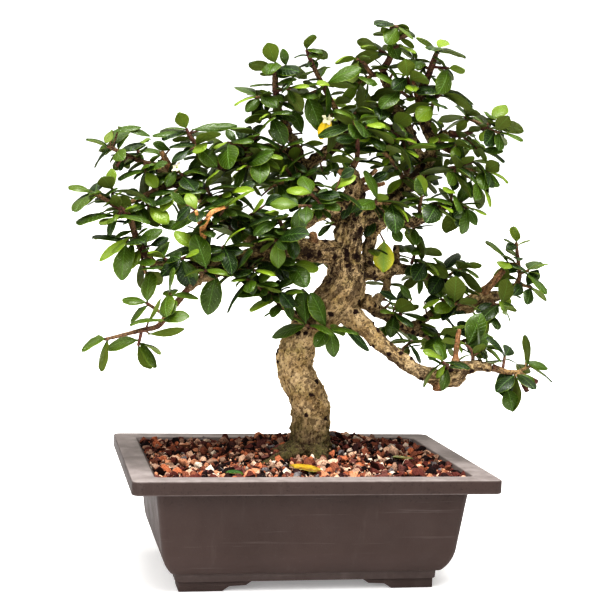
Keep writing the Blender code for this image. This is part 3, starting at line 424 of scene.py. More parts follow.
def joined(name, pieces):
    with bpy.context.temp_override(
            active_object=pieces[0], selected_editable_objects=pieces, object=pieces[0]):
        bpy.ops.object.join()
    pieces[0].name = name
    pieces[0].data.name = name
    return pieces[0]


def triangles(obj):
    return sum(len(face.vertices) - 2 for face in obj.data.polygons)


def hand_over(piece, nodes):
    """Trims a piece to the CAD box and sets it in the place of its nodes."""
    for vertex in piece.data.vertices:
        vertex.co = [min(max(value, low), high) for value, low, high in zip(vertex.co, CAD_LOW, CAD_HIGH)]
    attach(piece, "root")
    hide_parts(*nodes)
    print(f"{piece.name}: {triangles(piece)} triangles, stands for {len(nodes)} nodes")


def lofted(rings):
    """A closed skin over rings of equally many points, with flat ends."""
    points = [point for ring in rings for point in ring]
    size = len(rings[0])
    faces = [tuple(range(size))[::-1]]
    for row in range(len(rings) - 1):
        for spoke in range(size):
            beside = (spoke + 1) % size
            faces.append((row * size + spoke, row * size + beside,
                          (row + 1) * size + beside, (row + 1) * size + spoke))
    faces.append(tuple((len(rings) - 1) * size + spoke for spoke in range(size)))
    return points, faces

# %% [markdown]
# ## The pot
# A training pot is moulded in one piece of brown plastic: thin leaning walls that turn in
# below, a wide flat rim and four feet whose arms rise in two steps. All walls have the same
# section, so we loft it round a rounded rectangle, with a fillet at each edge as a mould leaves.

# %% The pot's measures, as in the CAD model
POT_LENGTH = 260.0
POT_DEPTH = 195.0
POT_HEIGHT = 86.0
RIM_HEIGHT = 10.0
RIM_WIDTH = 16.0
CORNER_RADIUS = 5.0
CORNER_STEPS = 8
BODY_INSET = 18.0
WALL = 3.0
WALL_LEAN = math.radians(7.4)
BOWL_TOP = 31.0
BOWL_RADIUS = 32.0
BOWL_END = math.radians(44)
INNER_BOWL_END = math.radians(52)
BOWL_STEPS = 12
BAND_INSET = 35.2
FLOOR_TOP = 12.0
FOOT_HEIGHT = 7.5
FOOT_INSET = 37.4
FOOT_THICK = 12.0
FOOT_SINK = 1.0
FOOT_ARM_X = 53.0
FOOT_ARM_Y = 42.0
FOOT_STEP_RISE = 3.4
FOOT_STEP_RUN = 5.0
FOOT_TREAD = 12.0
FOOT_BEVEL = 0.7
FILLET = 1.3
FILLET_STEPS = 4
POT_CREASE = math.radians(38)
UNDER_RIM = POT_HEIGHT - RIM_HEIGHT


def pot_ring(inset, height):
    """A rounded rectangle, inset from the rim's outline."""
    half_x = POT_LENGTH / 2 - inset - CORNER_RADIUS
    half_y = POT_DEPTH / 2 - inset - CORNER_RADIUS
    ring = []
    for quarter, (sign_x, sign_y) in enumerate(((1, 1), (-1, 1), (-1, -1), (1, -1))):
        for step in range(CORNER_STEPS + 1):
            turn = math.pi / 2 * (quarter + step / CORNER_STEPS)
            ring.append(Vector((
                sign_x * half_x + CORNER_RADIUS * math.cos(turn),
                sign_y * half_y + CORNER_RADIUS * math.sin(turn), height)))
    return ring


def wall_inset(height):
    return BODY_INSET + (UNDER_RIM - height) * math.tan(WALL_LEAN)


def bowl_profile(thickness, last_angle):
    """The curve by which the wall turns in below, as (inset, height)."""
    centre_inset = wall_inset(BOWL_TOP) + BOWL_RADIUS * math.cos(WALL_LEAN)
    centre_z = BOWL_TOP + BOWL_RADIUS * math.sin(WALL_LEAN)
    radius = BOWL_RADIUS - thickness
    turns = [WALL_LEAN + (last_angle - WALL_LEAN) * step / BOWL_STEPS for step in range(BOWL_STEPS + 1)]
    return [(centre_inset - radius * math.cos(turn), centre_z - radius * math.sin(turn)) for turn in turns]


def inner_profile(extra=0.0):
    """The inside from the rim down to the floor, as (inset, height)."""
    wall_top = wall_inset(UNDER_RIM) + WALL
    rows = [(RIM_WIDTH, POT_HEIGHT), (wall_top - 0.4, POT_HEIGHT - RIM_HEIGHT / 2), (wall_top, UNDER_RIM)]
    rows += [row for row in bowl_profile(WALL, INNER_BOWL_END) if row[1] > FLOOR_TOP + 1]
    rows.append((rows[-1][0] + 5, FLOOR_TOP))
    return [(inset + extra, height + (extra if height < FLOOR_TOP + 1 else 0)) for inset, height in rows]


def fillet(before, corner, after):
    """Rounds one corner of a profile."""
    corner = Vector(corner)
    start = corner + (Vector(before) - corner).normalized() * FILLET
    end = corner + (Vector(after) - corner).normalized() * FILLET
    rows = []
    for step in range(FILLET_STEPS + 1):
        share = step / FILLET_STEPS
        rows.append(tuple(start.lerp(corner, share).lerp(corner.lerp(end, share), share)))
    return rows


# %% The pot's body with worn fillets
def pot_profile():
    """The whole section as (inset, height), with how worn each row is."""
    inside = inner_profile()
    rows = [(BAND_INSET, FOOT_HEIGHT, 0.4), (BAND_INSET - 0.3, 13.0, 0.5)]
    rows += [(*row, 0.0) for row in bowl_profile(0.0, BOWL_END)[::-1][1:]]
    wall_top = (BODY_INSET, UNDER_RIM)
    corners = [(0, UNDER_RIM), (0, POT_HEIGHT), (RIM_WIDTH, POT_HEIGHT)]
    path = [wall_top] + corners + [inside[1]]
    rows.append((*wall_top, 0.0))
    for before, corner, after in zip(path, path[1:], path[2:]):
        for step, row in enumerate(fillet(before, corner, after)):
            rows.append((*row, 1 - abs(2 * step / FILLET_STEPS - 1)))
    return rows + [(*row, 0.0) for row in inside[1:]]


def pot_body():
    rows = pot_profile()
    points, faces = lofted([pot_ring(inset, height) for inset, height, _ in rows])
    body = mesh_object("pot_body", points, faces)
    size = len(points) // len(rows)
    give_attribute(body, "wear", "FLOAT", [worn for _, _, worn in rows for _ in range(size)])
    return body


def arm_shape(sign_x, sign_y, along_x):
    """One arm of a foot: a slab whose free end rises in two steps to the pot's floor."""
    length = FOOT_ARM_X if along_x else FOOT_ARM_Y
    flat = length - 2 * FOOT_STEP_RUN - FOOT_TREAD
    top = FOOT_HEIGHT + FOOT_SINK
    outline = (
        (0, 0), (flat, 0), (flat + FOOT_STEP_RUN, FOOT_STEP_RISE),
        (flat + FOOT_STEP_RUN + FOOT_TREAD, FOOT_STEP_RISE + 0.6),
        (length, FOOT_HEIGHT), (length, top), (0, top))
    corner_x = POT_LENGTH / 2 - FOOT_INSET
    corner_y = POT_DEPTH / 2 - FOOT_INSET
    rings = []
    for depth in (0, FOOT_THICK):
        steps = [(run, depth, height) if along_x else (depth, run, height) for run, height in outline]
        rings.append([Vector((sign_x * (corner_x - x), sign_y * (corner_y - y), z)) for x, y, z in steps])
    return lofted(rings)


def corner_foot(sign_x, sign_y):
    """Both arms of a foot as one solid, with its sharp edges rounded."""
    foot = mesh_object("foot", *arm_shape(sign_x, sign_y, True))
    other = mesh_object("foot_other_arm", *arm_shape(sign_x, sign_y, False))
    shaped(foot, "BOOLEAN", operation="UNION", solver="EXACT", object=other)
    bpy.data.objects.remove(other, do_unlink=True)
    with edited(foot.data) as shell:
        bmesh.ops.dissolve_limit(shell, angle_limit=0.01, verts=shell.verts, edges=shell.edges)
        bmesh.ops.bevel(
            shell, geom=shell.edges, offset=FOOT_BEVEL * MM, segments=2, affect="EDGES", profile=0.5)
    give_attribute(foot, "wear", "FLOAT", [0.2] * len(foot.data.vertices))
    return foot


feet = [corner_foot(x, y) for x in (-1, 1) for y in (-1, 1)]
pot = joined("pot_dressed", [pot_body()] + feet)
pot.data.shade_smooth()
pot.data.set_sharp_from_angle(angle=POT_CREASE)
print("the pot has", triangles(pot), "triangles")

# %% [markdown]
# The plastic is a dull dark red-brown. Watering has left pale dust on the rim, and faces that
# look up are painted paler still, a painted sheen. Below the rim a painted shadow darkens a
# speckled band. There are drips and white crumbs, and its edges are rubbed lighter. Each is a
# mask, worked out from the height, the normal or noise, that mixes one colour into the last.

# %% Plastic with dust, painted sheen and shadow, drips and rubbed edges
BROWN = (0.052, 0.0335, 0.0290)
BROWN_DARK = (0.032, 0.021, 0.018)
DUST_AND_SHEEN = (0.34, 0.30, 0.29)
CRUMB = (0.75, 0.72, 0.66)
SHADOW_BAND_LOW = 0.058
SHADOW_BAND_HIGH = 0.0745


def plastic_finish():
    material, g, place = new_finish("brown_plastic")
    _, _, height = g.parts(place)
    _, _, upward = g.parts(g.node("ShaderNodeNewGeometry", output="Normal"))
    cloudy = g.noise(place, 22.0, 5.0, 0.6)
    grainy = g.noise(place, 900.0, 4.0, 0.7)
    drips = g.noise(g.maths("MULTIPLY", place, (60.0, 60.0, 7.0)), 1.0, 4.0, 0.65)
    spots = g.ease(g.noise(place, 420.0, 5.0, 0.75), 0.54, 0.64)
    settled_dust = g.ease(g.noise(place, 60.0, 6.0, 0.7), 0.3, 0.75)
    scuffs = g.ease(g.noise(g.maths("MULTIPLY", place, (9.0, 9.0, 420.0)), 1.0, 4.0, 0.7), 0.6, 0.72)
    crumbs = g.cells(place, 95.0)
    crumb = (1 - g.ease(crumbs, 0.03, 0.07)) * g.ease(crumbs.out("Color"), 0.9, 0.92)
    colour = g.layers(
        BROWN,
        (g.ease(cloudy, 0.35, 0.7) * 0.3, BROWN_DARK),
        (g.ease(drips, 0.55, 0.8) * 0.08, DUST_AND_SHEEN),
        # painted shadow of the rim: the wall darkens towards the rim, with dark specks in it
        (g.ease(height, SHADOW_BAND_LOW, SHADOW_BAND_HIGH) * (0.25 + spots * 0.7), BROWN_DARK),
        # pale dust and painted sheen: faces that look up are made paler, more where dust settles
        (g.ease(upward, 0.6, 0.95) * (0.5 + settled_dust * 0.4), DUST_AND_SHEEN),
        (g.attribute("wear").out("Fac") * (0.1 + 0.2 * settled_dust), DUST_AND_SHEEN),
        (g.ease(grainy, 0.62, 0.8) * 0.12, DUST_AND_SHEEN),
        (crumb, CRUMB),
        (scuffs * 0.1, DUST_AND_SHEEN))
    roughness = 0.46 + 0.16 * cloudy + 0.14 * settled_dust
    relief = 0.6 * grainy + 0.1 * drips + 0.5 * crumb - 0.3 * scuffs
    set_surface(g, colour, roughness, relief, 0.14, Specular_IOR_Level=0.25)
    return material


pot.data.materials.append(plastic_finish())
hand_over(pot, ["pot"])

# %% [markdown]
# ## The gravel
# The soil is a loose mix of fired clay, lava and pumice: angular grains of 3 to 12 mm in
# maroon, orange, cream, grey and nearly black. A few rock shapes are enough, as each grain is
# turned and sized at random. A tree scatters them so that no two centres come too close, and
# gives each a number that chooses its colour. A bed of dark crumbs closes the gaps, and its
# near-black is partly painted shade. Painted shade also darkens the grains' downward faces.

# %% Where the surface of the soil lies
SOIL_EDGE = 82.5
SOIL_MOUND = 11.0
MOUND_TOP = (25, 35)
MOUND_REACH = 85.0
TRUNK_FOOT = (13, 5)
BED_BELOW = 2.2
BED_INSETS = (4.0, 14.0, 26.0, 42.0, 60.0, 76.0)
FALLEN = {
    "fallen_leaf_green": (-62, -64, 35, 17),
    "fallen_leaf_yellow": (-14, -46, -12, 24),
    "fallen_leaf_pale": (84, -24, 120, 20),
}
LOOSE_TOP = 2.5
DIP_DEPTH = 2.4
DIP_REACH = 0.8
SCATTER_CELL = 4.0
SCATTER_INSET = 3.6


def mound_height(x, y):
    """The gravel's level: highest behind the trunk."""
    away = math.hypot(x - MOUND_TOP[0], y - MOUND_TOP[1]) / MOUND_REACH
    return SOIL_EDGE + (SOIL_MOUND + LOOSE_TOP) * max(0.0, 1 - away) ** 1.3


def dip_height(x, y):
    """The gravel's level, a little lower where a dropped leaf lies."""
    level = mound_height(x, y)
    for leaf_x, leaf_y, heading, length in FALLEN.values():
        middle_x = leaf_x + math.cos(math.radians(heading)) * length / 2
        middle_y = leaf_y + math.sin(math.radians(heading)) * length / 2
        away = math.hypot(x - middle_x, y - middle_y)
        level -= DIP_DEPTH * max(0.0, 1 - away / (length * DIP_REACH))
    return level


def soil_bed():
    """The dark crumbs under the grains fill the pot's inside. Their near-black is partly painted shade."""
    rows = inner_profile(GAP)[::-1]
    rings = [pot_ring(inset, height) for inset, height in rows if height < SOIL_EDGE - BED_BELOW]
    wall_top = wall_inset(UNDER_RIM) + WALL + GAP
    for inset in BED_INSETS:
        ring = pot_ring(wall_top + inset - BED_INSETS[0], 0)
        rings.append([Vector((p.x, p.y, mound_height(p.x, p.y) - BED_BELOW)) for p in ring])
    return mesh_object("soil_bed", *lofted(rings))


def scatter_sheet(name):
    """The open sheet that a layer of grains is scattered on."""
    half_x = POT_LENGTH / 2 - RIM_WIDTH - SCATTER_INSET
    half_y = POT_DEPTH / 2 - RIM_WIDTH - SCATTER_INSET
    columns = round(2 * half_x / SCATTER_CELL)
    rows = round(2 * half_y / SCATTER_CELL)
    points = []
    for row in range(rows + 1):
        for column in range(columns + 1):
            x = half_x * (2 * column / columns - 1)
            y = half_y * (2 * row / rows - 1)
            points.append((x, y, dip_height(x, y)))
    width = columns + 1
    faces = [(row * width + column, row * width + column + 1, (row + 1) * width + column + 1,
              (row + 1) * width + column) for row in range(rows) for column in range(columns)]
    return mesh_object(name, points, faces)


bed = soil_bed()
print("the bed has", triangles(bed), "triangles")

# %% A few rock shapes
ROCK_SEED = 7
ROCK_KINDS = 9
ROCK_POINTS = 19
CRUMB_POINTS = 8


def rock(index, count):
    """An angular grain: a skin over a few points round a flattened ball."""
    draw = random.Random(ROCK_SEED + index + count)
    squash = Vector((1.0, draw.uniform(0.66, 0.95), draw.uniform(0.5, 0.85)))
    mesh = bpy.data.meshes.new(f"rock_{index}")
    with edited(mesh) as shell:
        for _ in range(count):
            out = Vector((draw.gauss(0, 1), draw.gauss(0, 1), draw.gauss(0, 1))).normalized()
            shell.verts.new(out * draw.uniform(0.42, 0.62) * squash)
        skin = bmesh.ops.convex_hull(shell, input=shell.verts[:])
        inside = [item for item in skin["geom_interior"] if isinstance(item, bmesh.types.BMVert)]
        bmesh.ops.delete(shell, geom=inside, context="VERTS")
        bmesh.ops.recalc_face_normals(shell, faces=shell.faces)
    return bpy.data.objects.new(mesh.name, mesh)


def rock_shapes(name, count):
    shapes = bpy.data.collections.new(name)
    for index in range(ROCK_KINDS):
        shapes.objects.link(rock(index, count))
    return shapes


rocks = rock_shapes("rock_shapes", ROCK_POINTS)
crumbs = rock_shapes("crumb_shapes", CRUMB_POINTS)

# %% Scatter the grains
GRAIN_SPACING = 3.3
GRAIN_SIZE = (3.4, 11.5)
GRAIN_SEED = 5
GRAIN_DENSITY = 240000.0
GRAIN_SMALLNESS = 2.4
GRAIN_CREASE = math.radians(42)
CRUMB_SPACING = 1.9
CRUMB_SIZE = (1.5, 3.6)
CRUMB_SEED = 8


def gravel_graph():
    """Grains on a surface, mostly small ones."""
    g, surface = geometry_graph("scatter_grains", {
        "Grains": "Collection", "Spacing": "Float", "Smallest": "Float", "Largest": "Float",
        "Seed": "Int", "Material": "Material"})
    points = g.node(
        "GeometryNodeDistributePointsOnFaces", {"distribute_method": "POISSON"},
        {"Mesh": surface, "Distance Min": surface.out("Spacing"), "Density Max": GRAIN_DENSITY,
         "Seed": surface.out("Seed")}, "Points")
    shuffle = surface.out("Seed")
    shapes = g.node(
        "GeometryNodeCollectionInfo", None,
        {"Collection": surface.out("Grains"), "Separate Children": True, "Reset Children": True})

    def random_vector(low, high, seed):
        return g.node(
            "FunctionNodeRandomValue", {"data_type": "FLOAT_VECTOR"}, {0: low, 1: high, "Seed": seed})

    def random_share(seed):
        return g.node("FunctionNodeRandomValue", {"data_type": "FLOAT"}, {2: 0.0, 3: 1.0, "Seed": seed}, 1)

    turn = random_vector((0, 0, 0), (6.28, 6.28, 6.28), shuffle + 11)
    chance = random_share(shuffle + 12)
    shade = random_share(shuffle + 13)
    size = surface.out("Smallest") + (
        surface.out("Largest") - surface.out("Smallest")) * g.maths("POWER", chance, GRAIN_SMALLNESS)
    lift = random_vector((0, 0, -0.0016), (0, 0, 0.0014), 14)
    heaped = g.node("GeometryNodeSetPosition", None, {"Geometry": points, "Offset": lift})
    grains = g.node(
        "GeometryNodeInstanceOnPoints", None,
        {"Points": heaped, "Instance": shapes, "Pick Instance": True, "Rotation": turn, "Scale": size})
    named = g.node(
        "GeometryNodeStoreNamedAttribute", {"data_type": "FLOAT", "domain": "INSTANCE"},
        {"Geometry": grains, "Name": "grain_shade", "Value": shade})
    finish_geometry(g, named, surface.out("Material"))
    return g


# %% The colours of the grains
GRAIN_COLOURS = (
    (0.00, (0.018, 0.009, 0.010)), (0.11, (0.150, 0.046, 0.036)), (0.25, (0.045, 0.018, 0.018)),
    (0.33, (0.310, 0.120, 0.072)), (0.45, (0.180, 0.074, 0.062)), (0.55, (0.580, 0.215, 0.110)),
    (0.65, (0.460, 0.300, 0.220)), (0.75, (0.900, 0.620, 0.450)), (0.85, (0.680, 0.340, 0.200)),
    (0.91, (0.880, 0.760, 0.620)), (0.97, (0.240, 0.225, 0.230)))
GRAIN_PAINTED_SHADE = (0.028, 0.012, 0.010)


def gravel_finish():
    material, g, place = new_finish("mixed_gravel")
    _, depth, _ = g.parts(place)
    _, _, upward = g.parts(g.node("ShaderNodeNewGeometry", output="Normal"))
    patchy = g.noise(place, 330.0, 5.0, 0.7)
    pitted = g.noise(place, 1000.0, 4.0, 0.75)
    dusty = g.ease(g.noise(place, 700.0, 5.0, 0.7), 0.58, 0.7)
    darker_zone = g.ease(depth + 0.03 * g.noise(place, 30.0, 2.0), POT_MIDDLE.y - 0.01, POT_MIDDLE.y + 0.06)
    shade = g.attribute("grain_shade").out("Fac")
    colour = g.node("ShaderNodeValToRGB", {"stops": GRAIN_COLOURS}, {"Fac": shade})
    colour.socket.node.color_ramp.interpolation = "CONSTANT"
    colour = g.mix(g.ease(patchy, 0.45, 0.75) * 0.55, colour, (0.3, 0.2, 0.17), "MULTIPLY")
    colour = g.mix((1 - g.ease(pitted, 0.36, 0.5)) * 0.8, colour, (0.2, 0.12, 0.1), "MULTIPLY")
    colour = g.mix(dusty * 0.3, colour, (0.62, 0.42, 0.30))
    # darker towards the back of the pot
    colour = g.mix(darker_zone * 0.45, colour, (0.3, 0.2, 0.2), "MULTIPLY")
    # painted shade: grain faces that look down or sideways are darkened
    colour = g.mix((1 - g.ease(upward, -0.3, 0.45)) * 0.7, colour, GRAIN_PAINTED_SHADE)
    set_surface(g, colour, 0.8 + 0.15 * patchy, 0.5 * patchy + 0.5 * pitted, 1.6, Specular_IOR_Level=0.2)
    return material


def bed_finish():
    material, g, place = new_finish("dark_crumbs")
    crumbly = g.noise(place, 700.0, 5.0, 0.75)
    # painted shade: the bed is nearly black so that the gaps between the grains look deep
    set_surface(g, g.mix(crumbly, (0.008, 0.004, 0.004), (0.04, 0.016, 0.012)), 0.95, crumbly, 1.5)
    return material


bed.data.materials.append(bed_finish())
GRAVEL_GRAPH = gravel_graph()
GRAVEL_FINISH = gravel_finish()


def scattered(name, shapes, spacing, sizes, seed):
    layer = grown(scatter_sheet(name), GRAVEL_GRAPH, {
        "Grains": shapes, "Spacing": spacing * MM, "Smallest": sizes[0] * MM, "Largest": sizes[1] * MM,
        "Seed": seed, "Material": GRAVEL_FINISH})
    for shape in list(shapes.objects):
        bpy.data.objects.remove(shape, do_unlink=True)
    bpy.data.collections.remove(shapes)
    return layer


grains = scattered("gravel_grains", rocks, GRAIN_SPACING, GRAIN_SIZE, GRAIN_SEED)
small_grains = scattered("gravel_crumbs", crumbs, CRUMB_SPACING, CRUMB_SIZE, CRUMB_SEED)
gravel = joined("gravel_bed", [grains, small_grains, bed])
gravel.data.set_sharp_from_angle(angle=GRAIN_CREASE)
hand_over(gravel, ["soil"])

# %% [markdown]
# ## Where the wood runs
# Every limb is a row of points along its middle, each with a radius, and starts inside the one
# that carries it. The CAD model was lofted from the same rows, so both lie in the same place.

# %% The limbs and the stubs that pruning left
BRANCHES = {
    "trunk": ((13, 5, 58, 15), (13, 5, 91, 15), (12, 5, 104, 14.2), (11, 4, 122, 14.4), (6, 3, 134, 14.2),
        (-1, 2, 146, 13.2), (-3, 2, 159, 13.2), (1, 2, 173, 13.2), (13, 4, 189, 13.8), (26, 6, 203, 15),
        (34, 8, 214, 16.4), (35, 8, 224, 13.8), (35, 8, 236, 11.8), (36, 8, 250, 10.4), (38, 8, 262, 9.6)),
    "left_primary": ((25, 6, 239, 8.5), (-2, -2, 240, 8), (-24, -8, 241, 7.6), (-41, -14, 234, 7),
        (-56, -20, 228, 6.4), (-72, -26, 228, 5.2), (-95, -30, 226, 4), (-114, -34, 228, 3.2)),
    "low_left": ((-53, -20, 227, 4), (-80, -40, 220, 3), (-91, -48, 212, 2.6)),
    "knot": ((41, 4, 262, 6), (40, -2, 277, 5), (34, -7, 291, 7), (32, -9, 299, 4.4), (33, -10, 303, 2.6)),
    "front_diagonal": ((34, -7, 288, 4.5), (26, -14, 276, 3.8), (11, -22, 269, 3.8), (-9, -30, 257, 3.4)),
    "left_limb": ((37, 10, 258, 6), (27, 16, 266, 4.5), (14, 22, 280, 4.5), (4, 26, 293, 5),
        (3, 28, 304, 5)),
    "left_limb_fork": ((3, 28, 302, 4.5), (-8, 26, 312, 4), (-26, 20, 315, 4), (-42, 14, 306, 4.5),
        (-62, 8, 299, 3.4)),
    "upper_mid": ((3, 28, 302, 4), (22, 26, 315, 4), (35, 24, 324, 3.4)),
    "top_left": ((1, 28, 308, 3.5), (-9, 24, 328, 3)),
    "right_limb": ((40, 8, 262, 7), (52, 12, 266, 6), (68, 16, 265, 4.6), (88, 18, 263, 4),
        (102, 18, 270, 3.6), (113, 18, 276, 3)),
    "right_upper": ((48, 12, 266, 6), (64, 18, 276, 5.5), (82, 24, 288, 5.2), (99, 30, 306, 5),
        (92, 32, 320, 4), (85, 34, 338, 4), (76, 34, 350, 4)),
    "right_top": ((98, 30, 306, 4.5), (107, 30, 323, 5), (101, 30, 335, 4.6), (94, 28, 347, 4.4),
        (93, 26, 364, 3.6)),
    "right_far": ((106, 30, 325, 4.5), (118, 30, 333, 3.2)),
    "apex": ((76, 34, 350, 3.6), (70, 30, 363, 3.4), (61, 26, 377, 3.2)),
    "lower_right": ((36, 6, 194, 9), (51, -6, 181, 6.4), (66, -14, 167, 5.6), (83, -20, 155, 5.2),
        (99, -24, 149, 5.6), (112, -26, 150, 7.5), (123, -28, 158, 4.6), (140, -32, 158, 3.2)),
    "mid_right": ((49, 10, 203, 6), (70, 22, 192, 4.2), (91, 34, 180, 3.8), (108, 42, 176, 3.2)),
    "right_block": ((96, 36, 179, 3.4), (113, 43, 190, 3.2), (131, 48, 194, 4), (147, 50, 198, 6.4),
        (156, 50, 205, 5.4), (173, 50, 206, 3)),
    "right_high": ((48, 14, 224, 7), (67, 24, 224, 5), (81, 32, 226, 4.2), (94, 40, 227, 3.2),
        (113, 48, 219, 2.4)),
    "riser": ((53, 18, 229, 5), (55, 20, 241, 4.4), (57, 18, 253, 4.2), (64, 16, 263, 4)),
    "cross_riser": ((58, 14, 202, 3.6), (70, 24, 207, 2.8), (73, 28, 223, 2.4)),
    "mid_riser": ((81, 32, 227, 2.2), (81, 34, 245, 1.8)),
    "front_low": ((6, -6, 181, 3.4), (-12, -20, 195, 2.6)),
    "far_left": ((-31, -8, 238, 4.5), (-48, 0, 252, 4), (-67, 4, 269, 3.8), (-82, 6, 280, 3.6),
        (-95, 6, 289, 3.2), (-109, 6, 298, 2.6)),
    "far_left_knob": ((-95, 6, 288, 3), (-112, -4, 280, 2.8)),
    "orange_fork": ((-76, -27, 229, 3), (-79, -34, 246, 2.6)),
    "back_left": ((14, 22, 280, 4), (-6, 42, 288, 3.6), (-30, 60, 296, 2.8)),
    "back_right": ((82, 24, 288, 4.4), (90, 48, 292, 3.6), (96, 66, 300, 2.8)),
    "back_low": ((35, 8, 224, 6), (28, 34, 232, 4), (16, 56, 238, 3)),
    "back_top": ((88, 33, 330, 3.6), (70, 52, 338, 3)),
}

STUBS = (
    ((34, -7, 291), (22, -14, 300), 2.6), ((36, -6, 288), (51, -12, 302), 1.8),
    ((38, -4, 286), (57, -14, 292), 1.8), ((8, 0, 240), (6, -4, 254), 3.0),
    ((147, 50, 198), (131, 42, 203), 2.2), ((156, 50, 205), (171, 38, 228), 2.8),
    ((112, -26, 150), (116, -24, 186), 2.0), ((100, -24, 149), (101, -27, 140), 3.6),
    ((108, 30, 325), (126, 38, 318), 2.0), ((94, 28, 347), (84, 17, 371), 1.8),
    ((-95, 6, 289), (-108, 0, 309), 2.2), ((27, 16, 266), (18, 6, 284), 2.4))
TRUNK_SIDES = 10
KNOB_SEED = 5
KNOB_SIDES = 4
TRUNK_KNOBS = 20
BRANCH_KNOBS = 5


def turned(first, second, angle):
    """The direction at an angle from one axis towards another."""
    return math.cos(angle) * first + math.sin(angle) * second


def tube(route, sides, headings=(None, None)):
    """A tapering limb along a route of (point, radius), with flat ends."""
    places = [Vector(place) for place, _ in route]
    runs = [(b - a).normalized() for a, b in zip(places, places[1:])]
    first = headings[0] or runs[0]
    last = headings[1] or runs[-1]
    tangents = [first] + [(a + b).normalized() for a, b in zip(runs, runs[1:])] + [last]
    side = tangents[0].orthogonal().normalized()
    if abs(tangents[0].z) > 0.99:
        side = Vector((1, 0, 0))
    rings = []
    for place, tangent, (_, radius) in zip(places, tangents, route):
        side = (side - tangent * side.dot(tangent)).normalized()
        other = tangent.cross(side)
        rings.append([
            place + radius * turned(side, other, 2 * math.pi * step / sides) for step in range(sides)])
    return lofted(rings)


def limb_sides(radius):
    if radius > 10:
        return TRUNK_SIDES
    return 7 if radius > 5 else 6 if radius > 3 else 5


def routes_of(rows):
    """A row of (x, y, z, radius) for each point as a route of (point, radius)."""
    return [(Vector(row[:3]), row[3]) for row in rows]


LIMBS = {name: routes_of(rows) for name, rows in BRANCHES.items()}


def stub_routes(swell):
    """The stubs' routes, each with a foot that is a little thicker."""
    return [[(Vector(start), radius * swell), (Vector(cut), radius)] for start, cut, radius in STUBS]


def around(axis, draw):
    """A random direction across an axis."""
    return Matrix.Rotation(draw.uniform(0, 2 * math.pi), 3, axis) @ axis.orthogonal().normalized()


def surface_knobs(name, count, draw, start=0.0, size=(1.4, 2.2)):
    """Short blunt knots on a limb, as (root, tip, girth)."""
    route = LIMBS[name]
    knobs = []
    for index in range(count):
        place = start + (1 - start) * (index + draw.random()) / count
        step, share = divmod(place * (len(route) - 1), 1)
        (a, radius_a), (b, radius_b) = route[int(step):int(step) + 2]
        middle = a.lerp(b, share)
        radius = radius_a + (radius_b - radius_a) * share
        out = around((b - a).normalized(), draw)
        girth = draw.uniform(*size)
        tip = middle + out * (radius + draw.uniform(0.7, 1.5))
        knobs.append((middle + out * radius * 0.6, tip, girth))
    return knobs


def all_knobs():
    draw = random.Random(KNOB_SEED)
    knobs = surface_knobs("trunk", TRUNK_KNOBS, draw, start=0.16)
    knobs += surface_knobs("left_primary", BRANCH_KNOBS, draw)
    return knobs + surface_knobs("lower_right", BRANCH_KNOBS, draw)


def wood_shapes():
    """The wood as the CAD model has it. Leaves are tested against it."""
    shapes = [tube(route, limb_sides(max(radius for _, radius in route[:2]))) for route in LIMBS.values()]
    shapes += [tube(route, 5) for route in stub_routes(1.15)]
    return shapes + [
        tube([(root, girth * 1.2), (tip, girth * 0.7)], KNOB_SIDES) for root, tip, girth in all_knobs()]


print(len(BRANCHES), "limbs,", len(STUBS), "stubs and", len(all_knobs()), "large knots")

# %% [markdown]
# ## The bark
# Old wood is never a plain tube: its line swings, its girth swells where shoots were cut, it
# flares into roots, and its bark breaks into ridges. We sweep each limb along a smooth curve,
# melt all of them into one skin with a voxel remesh, which rounds the crotches as growth does,
# and push the skin in and out with noise that is stretched along each limb.

# %% Smooth limbs with an uneven girth
LIMB_STEP = 2.2
FINE_SIDES = 20
STUB_SIDES = 12
GIRTH_WAVER = 0.07
CURVE_SHARE = 0.75
ROOTS = [routes_of(rows) for rows in (
    ((11, 4, 124, 13.0), (11, 4, 108, 14.4), (12, 5, 92, 15.8), (13, 5, 84, 17)),
    ((10, 3, 93, 9.5), (0, -4, 88, 8.0), (-12, -10, 84.5, 5.5), (-26, -15, 81.5, 3.2), (-36, -18, 79, 2)),
    ((14, 0, 93, 9.5), (15, -10, 88, 7.6), (17, -20, 84, 5.0), (16, -30, 81, 3)),
    ((16, 8, 92, 9.5), (26, 9, 88, 7.0), (36, 6, 84.5, 4.6), (46, 2, 81, 2.6)),
    ((11, 8, 92, 9.5), (4, 18, 88, 7.2), (-4, 28, 84, 4.6), (-10, 36, 81, 2.6)),
    ((16, 10, 92, 9), (24, 20, 87, 6.0), (30, 30, 82, 3)),
    ((9, 5, 92, 9.5), (-4, 6, 88, 7.0), (-16, 8, 83.5, 4.4), (-24, 10, 80, 2.4)))]


def flowing(route, step=LIMB_STEP):
    """More points on a smooth curve through a route."""
    places = [place for place, _ in route]
    padded = [2 * places[0] - places[1]] + places + [2 * places[-1] - places[-2]]
    fine = []
    for index in range(len(places) - 1):
        p0, p1, p2, p3 = padded[index:index + 4]
        count = max(1, round((p2 - p1).length / step))
        for part in range(count):
            t = part / count
            bend = 0.5 * (2 * p1 + (p2 - p0) * t + (2 * p0 - 5 * p1 + 4 * p2 - p3) * t ** 2
                          + (3 * p1 - p0 - 3 * p2 + p3) * t ** 3)
            straight = p1.lerp(p2, t)
            radius = route[index][1] + (route[index + 1][1] - route[index][1]) * t
            fine.append((straight.lerp(bend, CURVE_SHARE), radius))
    return fine + [route[-1]]


def uneven(route, seed):
    """A route whose girth wavers as wood does."""
    rows = []
    for place, radius in route:
        wave = noise.noise(place * 0.06 + Vector((seed, 0, 0))) + 0.6 * noise.noise(place * 0.16)
        rows.append((place, radius * (1 + GIRTH_WAVER * wave)))
    return rows


